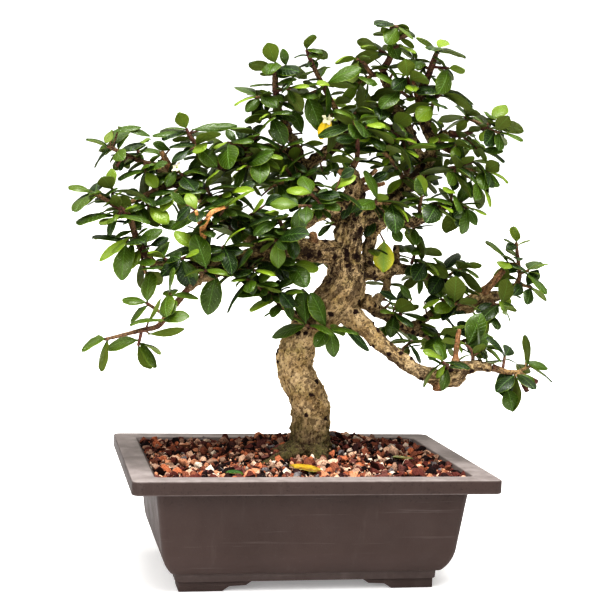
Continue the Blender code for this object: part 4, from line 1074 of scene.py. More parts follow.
def merged(shapes):
    """The points and faces of several shapes in one list each."""
    points, faces = [], []
    for shape_points, shape_faces in shapes:
        base = len(points)
        points += shape_points
        faces += [tuple(base + corner for corner in face) for face in shape_faces]
    return points, faces


def rough_wood():
    """All limbs, roots and stubs as overlapping closed tubes."""
    shapes = [tube(uneven(flowing(route), index), FINE_SIDES)
              for index, route in enumerate([*LIMBS.values(), *ROOTS])]
    shapes += [tube(flowing(route), STUB_SIDES) for route in stub_routes(1.2)]
    return mesh_object("tree_wood_dressed", *merged(shapes))


# %% One skin by voxel remesh
VOXEL = 1.15
SOFTEN_TURNS = 2

wood = shaped(rough_wood(), "REMESH", mode="VOXEL", voxel_size=VOXEL * MM)
shaped(wood, "SMOOTH", factor=0.5, iterations=SOFTEN_TURNS)
print("the remeshed wood has", triangles(wood), "triangles")

# %% [markdown]
# A noise that knows only x, y and z would run across a limb. So each point of the skin gets
# its own coordinates: how far along its limb it lies, and where round it. Fissures then follow
# the wood round every bend. The same measurement gives the girth and where pruned wood shows.

# %% Coordinates that follow the limbs
CHUNK = 6000
KNOT_SEED = 21
KNOT_STEP = 10.0
KNOT_GIRTH = (1.0, 2.5)
KNOT_REACH = 5.0
CROWN_START = 200.0
MOSS_TOP = 104.0


def limb_segments():
    """All straight parts of all limbs, as arrays."""
    rows = []
    wood_routes = [*LIMBS.values(), *ROOTS]
    for number, route in enumerate(wood_routes + stub_routes(1.2)):
        fine = flowing(route, 4.0)
        side = (fine[1][0] - fine[0][0]).orthogonal().normalized()
        so_far = 37.0 * number
        for (a, radius_a), (b, radius_b) in zip(fine, fine[1:]):
            run = (b - a).normalized()
            side = (side - run * side.dot(run)).normalized()
            rows.append((a, b, (radius_a, radius_b), (side, run.cross(side)), so_far,
                         number >= len(wood_routes)))
            so_far += (b - a).length
    return [np.array(values, dtype=float) for values in zip(*rows)]


def follow_limbs(points):
    """For each point: its straightened place, its limb's radius and whether it is a stub."""
    starts, ends, radii, frames, lengths, kinds = limb_segments()
    runs = ends - starts
    squares = (runs ** 2).sum(axis=1)
    places = np.zeros_like(points)
    girths = np.zeros(len(points))
    stubs = np.zeros(len(points))
    for first in range(0, len(points), CHUNK):
        part = slice(first, first + CHUNK)
        some = points[part]
        away = some[:, None, :] - starts[None, :, :]
        share = np.clip((away * runs[None]).sum(axis=2) / squares[None], 0, 1)
        off = away - share[..., None] * runs[None]
        radius = radii[None, :, 0] + (radii[:, 1] - radii[:, 0])[None] * share
        best = (np.sqrt((off ** 2).sum(axis=2)) - radius).argmin(axis=1)
        rows = np.arange(len(some))
        places[part, :2] = (off[rows, best][:, None] * frames[best]).sum(axis=2)
        places[part, 2] = lengths[best] + share[rows, best] * np.sqrt(squares[best])
        girths[part] = radius[rows, best]
        stubs[part] = kinds[best]
    return places, girths, stubs


# %% Knots
def knot_places():
    """The large knots, and the small scars of shoots that fell or were cut."""
    draw = random.Random(KNOT_SEED)
    knots = [(tip, girth) for _, tip, girth in all_knobs()]
    for route in LIMBS.values():
        fine = flowing(route, 1.0)
        reach = 2.0
        while reach < len(fine) - 1:
            (a, radius), (b, _) = fine[int(reach)], fine[int(reach) + 1]
            out = around((b - a).normalized(), draw)
            girth = draw.uniform(*KNOT_GIRTH) * (1.0 if radius > 6 else 0.8)
            knots.append((a + out * radius, girth))
            crowded = 0.3 if a.z > CROWN_START and radius > 5 else 0.55
            reach += draw.uniform(0.35, 1.4) * KNOT_STEP * crowded
    return knots


KNOTS = knot_places()
print(len(KNOTS), "knots and scars")

# %% Push the bark in and out
RIDGE = 1.3
LUMP = 1.6
ROOT_LUMP = 1.1
SCAR_RISE = 2.1
KNOT_SINK = 0.7


def roughen(obj):
    """Pushes the skin by lumps, ridges and knots, and stores what the finish needs."""
    count = len(obj.data.vertices)
    flat = np.zeros(count * 3)
    obj.data.vertices.foreach_get("co", flat)
    model_points = flat.reshape(-1, 3)
    normals = np.zeros(count * 3)
    obj.data.vertex_normals.foreach_get("vector", normals)
    normals = normals.reshape(-1, 3)
    points = (model_points - np.array(POT_MIDDLE)) / MM
    places, girths, stubs = follow_limbs(points)
    knot = np.zeros(count)
    scar = np.zeros(count)
    lookup = KDTree(count)
    for index, point in enumerate(points):
        lookup.insert(point, index)
    lookup.balance()
    for middle, girth in KNOTS:
        for point, index, gap in lookup.find_range(middle, KNOT_REACH * girth):
            away = gap / girth * (1 + 0.6 * noise.noise(point * 0.8))
            knot[index] = max(knot[index], math.exp(-(away / 1.2) ** 2))
            scar[index] = max(scar[index], math.exp(-(away / 1.9) ** 2))
    push = np.zeros(count)
    ridged = np.zeros(count)
    for index in range(count):
        place = Vector(places[index])
        long_way = Vector((place.x, place.y, place.z * 0.6))
        ridge = 1 - abs(noise.fractal(long_way * 0.34, 0.7, 2.1, 4)) * 1.5
        lump = noise.fractal(place * 0.13, 0.8, 2.0, 3)
        size = min(1.0, 0.22 + girths[index] / 14)
        ridged[index] = ridge
        push[index] = size * (LUMP * lump + RIDGE * (ridge - 0.62)) * (1 - 0.7 * stubs[index])
    for index in np.flatnonzero(points[:, 2] < MOSS_TOP):
        push[index] += ROOT_LUMP * noise.fractal(Vector(points[index]) * 0.42, 0.8, 2.1, 3)
    push += scar * SCAR_RISE - knot * KNOT_SINK
    moved = model_points + normals * push[:, None] * MM
    obj.data.vertices.foreach_set("co", moved.ravel())
    give_attribute(obj, "bark_place", "FLOAT_VECTOR", places * MM)
    for name, values in {"knot": knot, "ridge": ridged, "girth": girths, "stub": stubs}.items():
        give_attribute(obj, name, "FLOAT", values)
    obj.data.shade_smooth()


roughen(wood)
print("the bark is rough")

# %% [markdown]
# The bark is tan where it is sound and grey-brown where it is weathered, with nearly black
# knots, and painted shade darkens its fissures. Near the soil green algae darken it. Thin wood
# and cut stubs are redder.

# %% Bark with knots, fissures and a green foot
BARK_TAN = (0.31, 0.215, 0.10)
BARK_PALE = (0.53, 0.40, 0.235)
BARK_GREY = (0.135, 0.095, 0.055)
BARK_DARK = (0.02, 0.009, 0.007)
BARK_SHADE = (0.075, 0.045, 0.024)
BARK_FLECK = (0.62, 0.48, 0.30)
BARK_LICHEN = (0.27, 0.22, 0.07)
BARK_RED = (0.095, 0.053, 0.034)
BARK_GREEN = (0.05, 0.05, 0.02)
FRESH_CUT = (0.33, 0.155, 0.072)
FLAKY_START = POT_MIDDLE.x + 0.045
ALGAE_TOP = 0.142
ALGAE_FULL = 0.108


def bark_finish():
    material, g, place = new_finish("rough_bark")
    across, _, height = g.parts(place)
    along = g.attribute("bark_place")
    knot, ridge, girth, stub = (g.attribute(name).out("Fac") for name in ("knot", "ridge", "girth", "stub"))
    fibres = g.noise(g.maths("MULTIPLY", along, (1.0, 1.0, 0.6)), 700.0, 5.0, 0.7)
    patches = g.noise(place, 95.0, 6.0, 0.7)
    pores = g.noise(place, 900.0, 3.0, 0.7)
    lichen = g.ease(g.noise(place, 70.0, 5.0, 0.7), 0.5, 0.66)
    specks = g.ease(g.noise(place, 430.0, 3.0, 0.6), 0.56, 0.66)
    flaky = g.ease(across, FLAKY_START, FLAKY_START + 0.02)
    old = g.maths("MAXIMUM", g.ease(height, 0.185, 0.225), 0.8 * flaky)
    streaks = g.maths("MULTIPLY", along, (1.0, 1.0, 0.42)) + 0.006 * g.noise(place, 130.0, 4.0, 0.7)
    flakes = g.ease(g.noise(streaks, 210.0, 7.0, 0.8), 0.465, 0.545)
    darker_zone = 1 - g.ease(height + 0.028 * patches, ALGAE_FULL, ALGAE_TOP)
    mossy = g.mix(g.ease(specks + patches, 0.45, 0.65), BARK_GREEN, BARK_DARK)
    thin = g.mix(g.ease(patches, 0.42, 0.62), BARK_RED, BARK_GREY)
    colour = g.layers(
        g.mix(g.ease(patches, 0.36, 0.64), BARK_TAN, BARK_PALE),
        (g.ease(g.noise(place, 160.0, 6.0, 0.72), 0.5, 0.7) * 0.6, BARK_GREY),
        (0.75 * (1 - g.ease(girth, 1.8, 4.5)), thin),
        (lichen * 0.45, BARK_LICHEN),
        (stub * g.ease(patches, 0.3, 0.6) * 0.85, FRESH_CUT),
        # painted shade: the fissures between the bark's ridges are darkened
        (g.ease(1 - ridge, 0.3, 0.62) * 0.6, BARK_SHADE),
        (g.ease(fibres, 0.52, 0.66) * 0.6, BARK_SHADE),
        (specks * 0.75, BARK_DARK),
        (g.ease(pores, 0.55, 0.68) * 0.55, BARK_FLECK),
        (old * g.ease(girth, 2.0, 4.0) * flakes * 0.9, BARK_DARK),
        (darker_zone * 0.85, g.mix(g.ease(pores, 0.56, 0.66) * 0.5, mossy, BARK_LICHEN)),
        (g.ease(knot, 0.34, 0.6), BARK_DARK))
    relief = 0.5 * fibres + 0.35 * pores + 0.15 * patches
    set_surface(g, colour, 0.8 + 0.15 * pores, relief, 1.2, Specular_IOR_Level=0.2)
    return material


wood.data.materials.append(bark_finish())
hand_over(wood, ["tree_wood"])

# %% [markdown]
# ## Twigs and leaves: the plan
# A fukien tea carries its leaves in tight rosettes at the ends of short spurs along leafy
# stems. The CAD model solved where each leaf can go without touching its neighbours, with a
# seeded draw for each. We repeat its rule, so every fine leaf lies exactly on its plain one.

# %% The leafy stems
# Each has its branch, whether it goes on from that branch's end or leaves its side, the stem as
# x, y, z and radius, and the ends of its spurs as x, y, z and the number of leaves there. The
# first spur goes on from the stem's end. A spur with no leaves is a pruned stub.
SPRAYS = {
    "hanging_left": ("low_left", "end", ((-104, -56, 197, 2.4), (-112, -60, 187, 2.1),
        (-124, -62, 184, 1.7), (-144, -66, 179, 1.3)), ((-149, -68, 178, 3), (-121, -62, 203, 3),
        (-125, -56, 173, 4), (-111, -71, 191, 3), (-105, -62, 210, 5))),
    "hanging_pair": ("low_left", "side", ((-81, -49, 225, 1.4),), ((-79, -55, 226, 4),)),
    "left_reach": ("left_primary", "end", ((-126, -36, 244, 2.6), (-133, -36, 262, 2.3),
        (-145, -38, 270, 1.8), (-154, -40, 275, 1.5)), ((-160, -41, 277, 4), (-144, -30, 280, 3),
        (-143, -47, 260, 3), (-136, -46, 243, 4), (-120, -42, 222, 3))),
    "left_under_a": ("left_primary", "side", ((-101, -41, 230, 1.4),), ((-108, -45, 233, 4),
        (-93, -50, 235, 4))),
    "left_under_b": ("left_primary", "side", ((-76, -39, 235, 1.4),), ((-85, -46, 241, 4),
        (-66, -46, 243, 4))),
    "left_under_c": ("left_primary", "side", ((-46, -32, 226, 1.4),), ((-56, -38, 223, 3),
        (-42, -42, 226, 4))),
    "left_under_d": ("left_primary", "side", ((-26, -22, 233, 1.4),), ((-29, -30, 228, 4),
        (-12, -25, 231, 3))),
    "front_low_twig": ("front_low", "end", ((-27, -28, 207, 2.2), (-43, -38, 217, 1.8)),
        ((-49, -42, 220, 3), (-20, -38, 210, 4))),
    "pruned_fork": ("orange_fork", "end", ((-80, -37, 255, 2.4),), ((-86, -40, 267, 4),
        (-64, -42, 271, 4))),
    "left_mid_a": ("far_left", "side", ((-71, -8, 276, 1.4),), ((-76, -13, 284, 4), (-58, -15, 281, 4))),
    "left_mid_b": ("far_left", "side", ((-52, -12, 260, 1.4),), ((-60, -20, 265, 4), (-43, -22, 266, 4))),
    "left_mid_c": ("far_left", "side", ((-88, -6, 286, 1.4),), ((-94, -12, 293, 4), (-99, -18, 279, 4))),
    "left_top_reach": ("far_left", "end", ((-122, 4, 301, 2), (-140, 0, 308, 1.5)), ((-147, 0, 311, 5),
        (-124, 10, 310, 4), (-119, -8, 293, 4), (-139, 7, 297, 0))),
    "left_knob_twig": ("far_left_knob", "end", ((-123, -8, 274, 2.4),), ((-133, -12, 270, 3),
        (-117, -20, 268, 4))),
    "left_crown": ("left_limb_fork", "end", ((-74, 4, 308, 2.4), (-87, 0, 320, 1.8)), ((-90, 0, 326, 5),
        (-84, -10, 313, 4))),
    "mid_crown": ("left_limb_fork", "side", ((-46, 4, 315, 1.6),), ((-60, -4, 317, 4), (-36, 2, 325, 5))),
    "mid_crown_front": ("left_limb_fork", "side", ((-43, 1, 303, 1.4),), ((-46, -7, 300, 3),
        (-34, -6, 308, 3))),
    "top_left_shoot": ("top_left", "end", ((-19, 20, 346, 2.6), (-22, 18, 360, 2.6), (-23, 16, 371, 2.2)),
        ((-23, 16, 378, 5), (-38, 12, 352, 5), (-12, 8, 360, 4), (-28, 6, 337, 4))),
    "top_mid_shoot": ("upper_mid", "end", ((29, 20, 340, 2.6), (19, 16, 355, 2.3), (9, 12, 370, 1.9),
        (1, 10, 384, 1.5)), ((-1, 10, 389, 3), (14, 1, 364, 5), (-1, 12, 355, 4), (18, 6, 340, 4),
        (40, 14, 345, 4))),
    "limb_side": ("left_limb", "side", ((-7, 14, 294, 1.4),), ((-14, 6, 300, 3), (-24, 4, 287, 4))),
    "front_diagonal_end": ("front_diagonal", "end", ((-19, -35, 250, 2.4),), ((-27, -38, 265, 5),
        (-31, -48, 248, 4))),
    "front_diagonal_side": ("front_diagonal", "side", ((5, -34, 275, 1.5),), ((-4, -40, 282, 4),
        (-14, -46, 273, 3), (15, -37, 286, 3))),
    "knot_shoot": ("knot", "end", ((36, -10, 309, 2), (35, -12, 327, 1.6)), ((31, -15, 337, 5),
        (40, -20, 333, 4))),
    "knot_side": ("knot", "side", ((46, -14, 276, 1.5),), ((49, -24, 279, 4), (62, -16, 277, 3))),
    "pale_twig": ("right_upper", "side", ((74, 14, 304, 2), (62, 6, 314, 1.8), (53, 0, 322, 1.5)),
        ((48, -3, 326, 4), (66, -2, 325, 3))),
    "apex_shoot": ("apex", "end", ((66, 22, 387, 2.7), (68, 20, 401, 2.4), (66, 20, 411, 2)),
        ((70, 14, 410, 4), (70, 11, 396, 1), (57, 20, 393, 3), (79, 18, 406, 0))),
    "apex_fork": ("apex", "side", ((53, 22, 374, 2), (45, 20, 383, 1.6)), ((39, 17, 385, 4),
        (41, 18, 367, 4))),
    "right_crown": ("right_top", "end", ((98, 24, 377, 2.8), (102, 22, 391, 2.2)), ((104, 21, 397, 3),
        (112, 18, 382, 4), (86, 27, 388, 4))),
    "right_crown_side": ("right_top", "side", ((104, 18, 360, 1.5),), ((109, 14, 367, 5),
        (98, 11, 352, 3))),
    "right_crown_left": ("right_top", "side", ((82, 18, 358, 1.5),), ((71, 12, 364, 4), (78, 12, 373, 4))),
    "inner_top": ("right_upper", "side", ((69, 24, 343, 1.5),), ((57, 20, 352, 4), (58, 12, 343, 4))),
    "inner_mid": ("right_upper", "side", ((78, 22, 326, 1.5),), ((67, 14, 334, 4), (77, 8, 318, 3))),
    "right_wing": ("right_far", "end", ((131, 32, 333, 2.4), (141, 32, 338, 1.8), (149, 28, 339, 1.5)),
        ((132, 36, 347, 4), (152, 28, 345, 5), (157, 22, 335, 5), (138, 22, 322, 4), (120, 18, 323, 3))),
    "right_shelf": ("right_upper", "side", ((110, 22, 305, 1.8), (124, 16, 307, 1.5)), ((116, 7, 303, 4),
        (136, 22, 312, 3), (149, 20, 304, 5), (138, 12, 295, 3))),
    "right_limb_end": ("right_limb", "end", ((123, 17, 280, 2),), ((130, 14, 276, 5), (115, 5, 288, 4))),
    "right_limb_side": ("right_limb", "side", ((90, 6, 275, 1.6),), ((89, -2, 283, 4), (102, 0, 278, 3))),
    "high_side": ("right_high", "side", ((96, 36, 237, 1.4),), ((96, 38, 244, 3), (104, 30, 232, 4))),
    "high_end": ("right_high", "end", ((127, 50, 219, 1.7),), ((122, 42, 227, 4), (141, 50, 229, 5),
        (136, 44, 212, 3))),
    "block_front": ("right_block", "side", ((135, 36, 202, 1.6),), ((128, 29, 200, 4), (117, 29, 204, 4))),
    "block_under": ("right_block", "side", ((165, 40, 200, 1.5),), ((169, 32, 200, 4), (158, 34, 190, 3))),
    "block_end": ("right_block", "end", ((183, 50, 212, 2.6), (189, 50, 222, 2), (185, 48, 243, 1.5)),
        ((184, 48, 250, 1), (194, 44, 228, 4), (176, 44, 233, 4), (197, 44, 214, 4))),
    "mid_right_end": ("mid_right", "end", ((129, 48, 165, 2.2), (145, 52, 169, 1.8)), ((152, 50, 173, 4),
        (136, 40, 178, 4), (118, 36, 176, 4))),
    "mid_right_side": ("mid_right", "side", ((84, 24, 191, 1.5),), ((75, 16, 193, 4),)),
    "lower_right_end": ("lower_right", "end", ((151, -34, 155, 2.2), (162, -36, 155, 1.6)),
        ((155, -41, 153, 4), (170, -34, 160, 4), (152, -26, 166, 4), (166, -40, 141, 0),
        (175, -36, 148, 0))),
    "lower_right_top": ("lower_right", "side", ((128, -22, 168, 1.5),), ((125, -16, 173, 3),
        (137, -24, 172, 3))),
    "knob_leaves": ("lower_right", "side", ((104, -37, 160, 1.5),), ((98, -43, 163, 4),)),
    "lower_right_mid": ("lower_right", "side", ((78, -9, 169, 1.5),), ((86, -3, 174, 4),)),
    "trunk_sprout": ("trunk", "side", ((9, -14, 184, 2),), ((-1, -21, 186, 4), (18, -20, 184, 4))),
    "back_left_shoot": ("back_left", "end", ((-46, 72, 302, 2),), ((-58, 78, 304, 4), (-40, 82, 312, 4),
        (-50, 70, 316, 4))),
    "back_right_shoot": ("back_right", "end", ((102, 78, 310, 2),), ((112, 84, 316, 4), (92, 84, 316, 4),
        (116, 72, 306, 4))),
    "back_low_shoot": ("back_low", "end", ((6, 70, 244, 2),), ((-6, 76, 250, 4), (14, 80, 254, 4),
        (-8, 66, 240, 4))),
    "back_top_shoot": ("back_top", "end", ((56, 64, 346, 2),), ((46, 68, 352, 4), (62, 74, 356, 4),
        (44, 60, 340, 4))),
}
print(len(SPRAYS), "leafy stems with", sum(len(row[3]) for row in SPRAYS.values()), "spurs")


# %% Measures of twigs, leaves and flowers
FLOWERS = {"flower_left": ("left_mid_c", 0), "flower_top": ("top_mid_shoot", 3)}
FLOWER_STALK = 5.0
STALK_RADIUS = 0.55
FLOWER_RADIUS = 5.0
PETALS = 5
SPUR_RADIUS = 1.2
SPUR_SIDES = 3
STEM_SIDES = 4
STUB_RADIUS = 1.9
BLUNT_LENGTH = 1.0
BLUNT_TIP = 0.4
NODE_LENGTH = 1.6
STEM_BARE = 4.0
SPUR_BARE = 1.0
LEAF_LENGTH = (19.0, 29.0)
YOUNG_LENGTH = 0.8
LEAF_SLIMNESS = (0.5, 0.6)
LEAF_WIDEST = 0.56
LEAF_SHOULDER = 0.86
LEAF_THICK = 1.0
SHOULDER_THICK = 0.8
PETIOLE_HALF = 0.9
PETIOLE_THICK = 1.5
YOUNG_OPENING = (8, 38)
SIDE_OPENING = (48, 98)
SIDE_TURN = 28
LEAF_ROLL = 26
LEAF_ARCH = (22, 58)
LEAF_LEVEL = 0.5
LEAF_LIFT = 0.1
YOUNG_LEVEL = 0.8
FACE_UP = 0.9
FACE_OUT = 0.45
CLEARANCE = 0.5
LEAF_TRIES = 16
TRY_SHRINK = 0.02
BLADE_START = 0.1
CROWD_SPACING = 3.4
CROWD_HEADING = 0.72
NUDGE_REACHES = (4, 7)
NUDGE_STEPS = (
    (0, 0, 1), (0, -1, 0), (0, 1, 0), (1, 0, 0), (-1, 0, 0), (0, 0, -1),
    (0.7, -0.7, 0), (-0.7, -0.7, 0), (0.7, 0.7, 0), (-0.7, 0.7, 0))
ROOT_SLIDES = (3.0, 2.0, 1.0, 0.0, -1.0, -2.0, -3.0)
PROBE_SIDES = 6

print("leaves of", LEAF_LENGTH, "mm, spurs of", 2 * SPUR_RADIUS, "mm")


# %% The leafy stems' own routes
def nearest_on_route(point, route):
    """The closest place on a route to a point, with the radius and heading there."""
    found = []
    for (a, radius_a), (b, radius_b) in zip(route, route[1:]):
        run = b - a
        share = min(1.0, max(0.0, (point - a).dot(run) / run.length_squared))
        found.append((a + run * share, radius_a + (radius_b - radius_a) * share, run.normalized()))
    return min(found, key=lambda row: (point - row[0]).length)


def wood_distance(point, routes):
    """How far a point lies outside the bark of the nearest limb or stub."""
    found = [nearest_on_route(point, route) for route in routes]
    return min((point - place).length - radius for place, radius, _ in found)


def blunt_start(start, run, radius, routes, wood_tree):
    """A side shoot's first two points: a blunt point just off the bark that widens."""
    step_out = 0.1
    step_back = 0.05
    reach = 0.0
    while wood_distance(start + run * reach, routes) < radius + GAP:
        reach += step_out
    while reach > 0:
        place = start + run * (reach - step_back)
        probe = tube([(place - run * GAP, radius * 0.6), (place + run, radius + GAP)], PROBE_SIDES)
        if tree_of(probe).overlap(wood_tree):
            break
        reach -= step_back
    return [(start + run * reach, radius * BLUNT_TIP), (start + run * (reach + BLUNT_LENGTH), radius)]


def stem_route(spray, routes, wood_tree):
    """A spray's stem, which meets the cut wood of a branch's end or the bark of its side."""
    host, kind, stem, _ = SPRAYS[spray]
    route = routes_of(stem)
    carrier = LIMBS[host]
    if kind == "end":
        place, radius = carrier[-1]
        heading = (carrier[-1][0] - carrier[-2][0]).normalized()
        return [(place + heading * GAP, radius)] + route, heading
    knee, radius = route[0]
    start, _, _ = nearest_on_route(knee, carrier)
    run = (knee - start).normalized()
    begin = blunt_start(start, run, radius, routes, wood_tree)
    shortest = 0.8
    if (knee - begin[1][0]).dot(run) < shortest:
        route = route[1:]
    return begin + route, run


# %% One leaf as a frame and as a plain solid
def leaf_frame(leaf):
    """The middle, side and normal of an arching leaf at shares of its length."""
    root, heading, length, arch = leaf["root"], leaf["heading"], leaf["length"], leaf["arch"]
    side = heading.cross(leaf["facing"])
    if side.length < 0.2:
        side = heading.cross(Vector((0.3, -1, 0.3)))
    side = Matrix.Rotation(leaf["roll"], 3, heading) @ side.normalized()
    normal = side.cross(heading).normalized()

    def at(share):
        bend = arch * share
        middle = root + length / arch * (math.sin(bend) * heading - (1 - math.cos(bend)) * normal)
        return middle, side, turned(normal, heading, bend)

    return at


def blade_width(share):
    """A long wedge that ends in a broad round tip."""
    return math.sin(math.pi * share ** 1.8) ** 0.7


def leaf_section(leaf, share, thick, grow=0.0):
    """Three points round the leaf: its two edges and the keel below."""
    middle, side, normal = leaf_frame(leaf)(share)
    reach = max(PETIOLE_HALF, leaf["width"] / 2 * blade_width(share)) + grow
    rise = thick / 2 + grow
    edge_height = middle + normal * rise
    return [edge_height - side * reach, edge_height + side * reach, middle - normal * rise]


def band(first):
    """The faces from one section of three points to the next one."""
    faces = []
    for spoke in range(3):
        a, b = first + spoke, first + (spoke + 1) % 3
        faces += [(a, b, b + 3), (a, b + 3, a + 3)]
    return faces


def blade_end(leaf, first, grow=0.0):
    """A blade's widest section, its shoulder and its tip, and their faces."""
    points = leaf_section(leaf, LEAF_WIDEST, LEAF_THICK, grow)
    points += leaf_section(leaf, LEAF_SHOULDER, LEAF_THICK * SHOULDER_THICK, grow)
    points.append(leaf_frame(leaf)(1 + grow / leaf["length"])[0])
    tip = first + 6
    return points, band(first) + [(first + 3 + spoke, first + 3 + (spoke + 1) % 3, tip) for spoke in range(3)]


def leaf_solid(leaf, grow=0.0, first=0.0):
    """A leaf by itself, which can be grown all round and start part of the way along."""
    end, faces = blade_end(leaf, 3, grow)
    foot = leaf_section(leaf, 0, PETIOLE_THICK, grow)
    foot = [a.lerp(b, first / LEAF_WIDEST) for a, b in zip(foot, end)]
    return foot + end, [(2, 1, 0)] + band(0) + faces


def leaf_skin(corners, leaf):
    """A leaf's faces as they are drawn out of one face of its twig."""
    side = leaf_frame(leaf)(0)[1]
    count = len(corners)
    turn = max(range(count), key=lambda k: (corners[(k + 1) % count] - corners[k]).dot(side))
    ring = [(turn + k) % count for k in range(count)]
    end, faces = blade_end(leaf, count)
    points = corners + end
    left, right, keel = count, count + 1, count + 2
    for a, b, c, d in ((ring[0], ring[1], right, left), (ring[1], ring[2], keel, right),
                       (ring[-1], ring[0], left, keel)):
        normal = (points[b] - points[a]).cross(points[c] - points[a])
        flat = (points[d] - points[a]).dot(normal) <= 0
        faces += [(a, b, c), (a, c, d)] if flat else [(a, b, d), (b, c, d)]
    if count == 4:
        faces.append((ring[2], ring[3], keel))
    return points, faces


def tree_of(*shapes):
    """One search tree over some shapes."""
    return BVHTree.FromPolygons(*merged(shapes))


def flower_shape(foot, axis):
    """An open flower as one skin: a stalk and a cup of five petals."""
    side = axis.orthogonal().normalized()
    other = axis.cross(side)

    def ring(height, radii):
        return [
            foot + axis * height + radii[step % 2] * turned(side, other, math.pi * step / PETALS)
            for step in range(2 * PETALS)]

    stalk = (STALK_RADIUS, STALK_RADIUS - 0.05)
    half_cup = FLOWER_STALK + 0.9
    return lofted([
        ring(0, stalk), ring(FLOWER_STALK - 0.8, stalk), ring(FLOWER_STALK, (1.1, 1.0)),
        ring(half_cup + 0.6, (FLOWER_RADIUS, 1.8)), ring(half_cup + 1.3, (FLOWER_RADIUS * 0.97, 1.7)),
        ring(half_cup + 0.2, (0.9, 0.7))])


# %% Lay out the twigs
def route_length(route):
    return sum((b - a).length for (a, _), (b, _) in zip(route, route[1:]))


def point_along(route, distance):
    """The place and radius at a distance from the start of a route."""
    for (a, radius_a), (b, radius_b) in zip(route, route[1:]):
        run = (b - a).length
        if distance <= run:
            return a.lerp(b, distance / run), radius_a + (radius_b - radius_a) * distance / run
        distance -= run
    return route[-1]


def plan_twig(route, headings, sides, leaves, usable, bare_tip):
    """A twig's skin with close rings near its tip, and the faces that leaves grow from."""
    segments = max(1, min(leaves - 1, int(usable / NODE_LENGTH))) if leaves else 0
    total = route_length(route)
    marks = [total - NODE_LENGTH * step for step in range(segments, 0, -1)]
    kept = [row for index, row in enumerate(route[:-1])
            if not marks or route_length(route[:index + 1]) < marks[0] - 0.5]
    kept += [point_along(route, mark) for mark in marks] + [route[-1]]
    points, faces = tube(kept, sides, headings)
    last_row = len(kept) - 2
    slots = [] if bare_tip or not leaves else [len(faces) - 1]
    spoke = 0
    while len(slots) < min(leaves, 1 + segments * sides):
        segment = (len(slots) - 1) % segments if slots else 0
        first = 1 + (last_row - segment) * sides
        spoke += 2 if sides == 4 and len(slots) % 2 else 1
        while first + spoke % sides in slots:
            spoke += 1
        slots.append(first + spoke % sides)
    axis = (route[-1][0] - point_along(route, total - max(2.0, NODE_LENGTH * segments))[0]).normalized()
    return {"points": points, "faces": faces, "slots": slots, "axis": axis, "tip": route[-1][0],
            "leaves": [], "route": route}


def lay_out_twigs(wood_tree):
    """Finds each twig's route. A spur that would touch other growth is moved a little."""
    layout = {}
    routes = [*LIMBS.values(), *stub_routes(1)]
    nudges = [Vector((0, 0, 0))]
    nudges += [Vector(step) * reach for reach in NUDGE_REACHES for step in NUDGE_STEPS]
    for name, (_, _, _, ends) in SPRAYS.items():
        stem, heading = stem_route(name, routes, wood_tree)
        stem.append((Vector(ends[0][:3]), SPUR_RADIUS))
        twig = plan_twig(stem, (heading, None), STEM_SIDES, ends[0][3], route_length(stem) - STEM_BARE,
                         (name, 0) in FLOWERS.values())
        wide = [(place, radius + CLEARANCE) for place, radius in stem]
        layout[name] = {"stem": stem, "twigs": [twig], "tubes": [tube(wide, PROBE_SIDES)]}
    for name, row in layout.items():
        others = [tree_of(*other["tubes"]) for other in layout.values() if other is not row]
        stem = row["stem"]
        for index, (x, y, z, leaves) in enumerate(SPRAYS[name][3][1:], 1):
            radius = SPUR_RADIUS if leaves else STUB_RADIUS
            reach = radius + CLEARANCE
            for nudge in nudges:
                tip = Vector((x, y, z)) + nudge
                place, girth, run = nearest_on_route(tip, stem[1:-1] if len(stem) > 3 else stem[:-1])
                least = girth + SPUR_RADIUS + 2 * NODE_LENGTH
                if (tip - place).length < least:
                    tip = place + (tip - place).normalized() * least
                roots = [place - run * back for back in ROOT_SLIDES]
                root = next((spot for spot in roots if wood_distance(spot, routes) > radius + GAP), place)
                shape = tube([(root, reach), (tip, reach)], PROBE_SIDES)
                probe = tree_of(shape)
                beyond = tree_of(tube([(root.lerp(tip, 0.4), reach), (tip, reach)], PROBE_SIDES))
                if not (beyond.overlap(wood_tree) or any(probe.overlap(tree) for tree in others)):
                    break
            usable = (tip - place).length - girth - SPUR_BARE
            row["twigs"].append(plan_twig(
                [(root, radius), (tip, radius)], (None, None), SPUR_SIDES, leaves, usable,
                (name, index) in FLOWERS.values()))
            row["tubes"].append(shape)
    return layout


# %% Lay out the leaves
def drawn_leaf(root, heading, length, draw, slimness, arch):
    """A leaf whose roll, width and arch are drawn and which faces up and away from the trunk."""
    outward = Vector((root.x - TRUNK_FOOT[0], root.y - TRUNK_FOOT[1], 0)).normalized()
    return {"root": root, "heading": heading.normalized(), "facing": UP * FACE_UP + outward * FACE_OUT,
            "roll": math.radians(draw.uniform(-LEAF_ROLL, LEAF_ROLL)), "length": length,
            "width": length * draw.uniform(*slimness), "arch": math.radians(draw.uniform(*arch))}


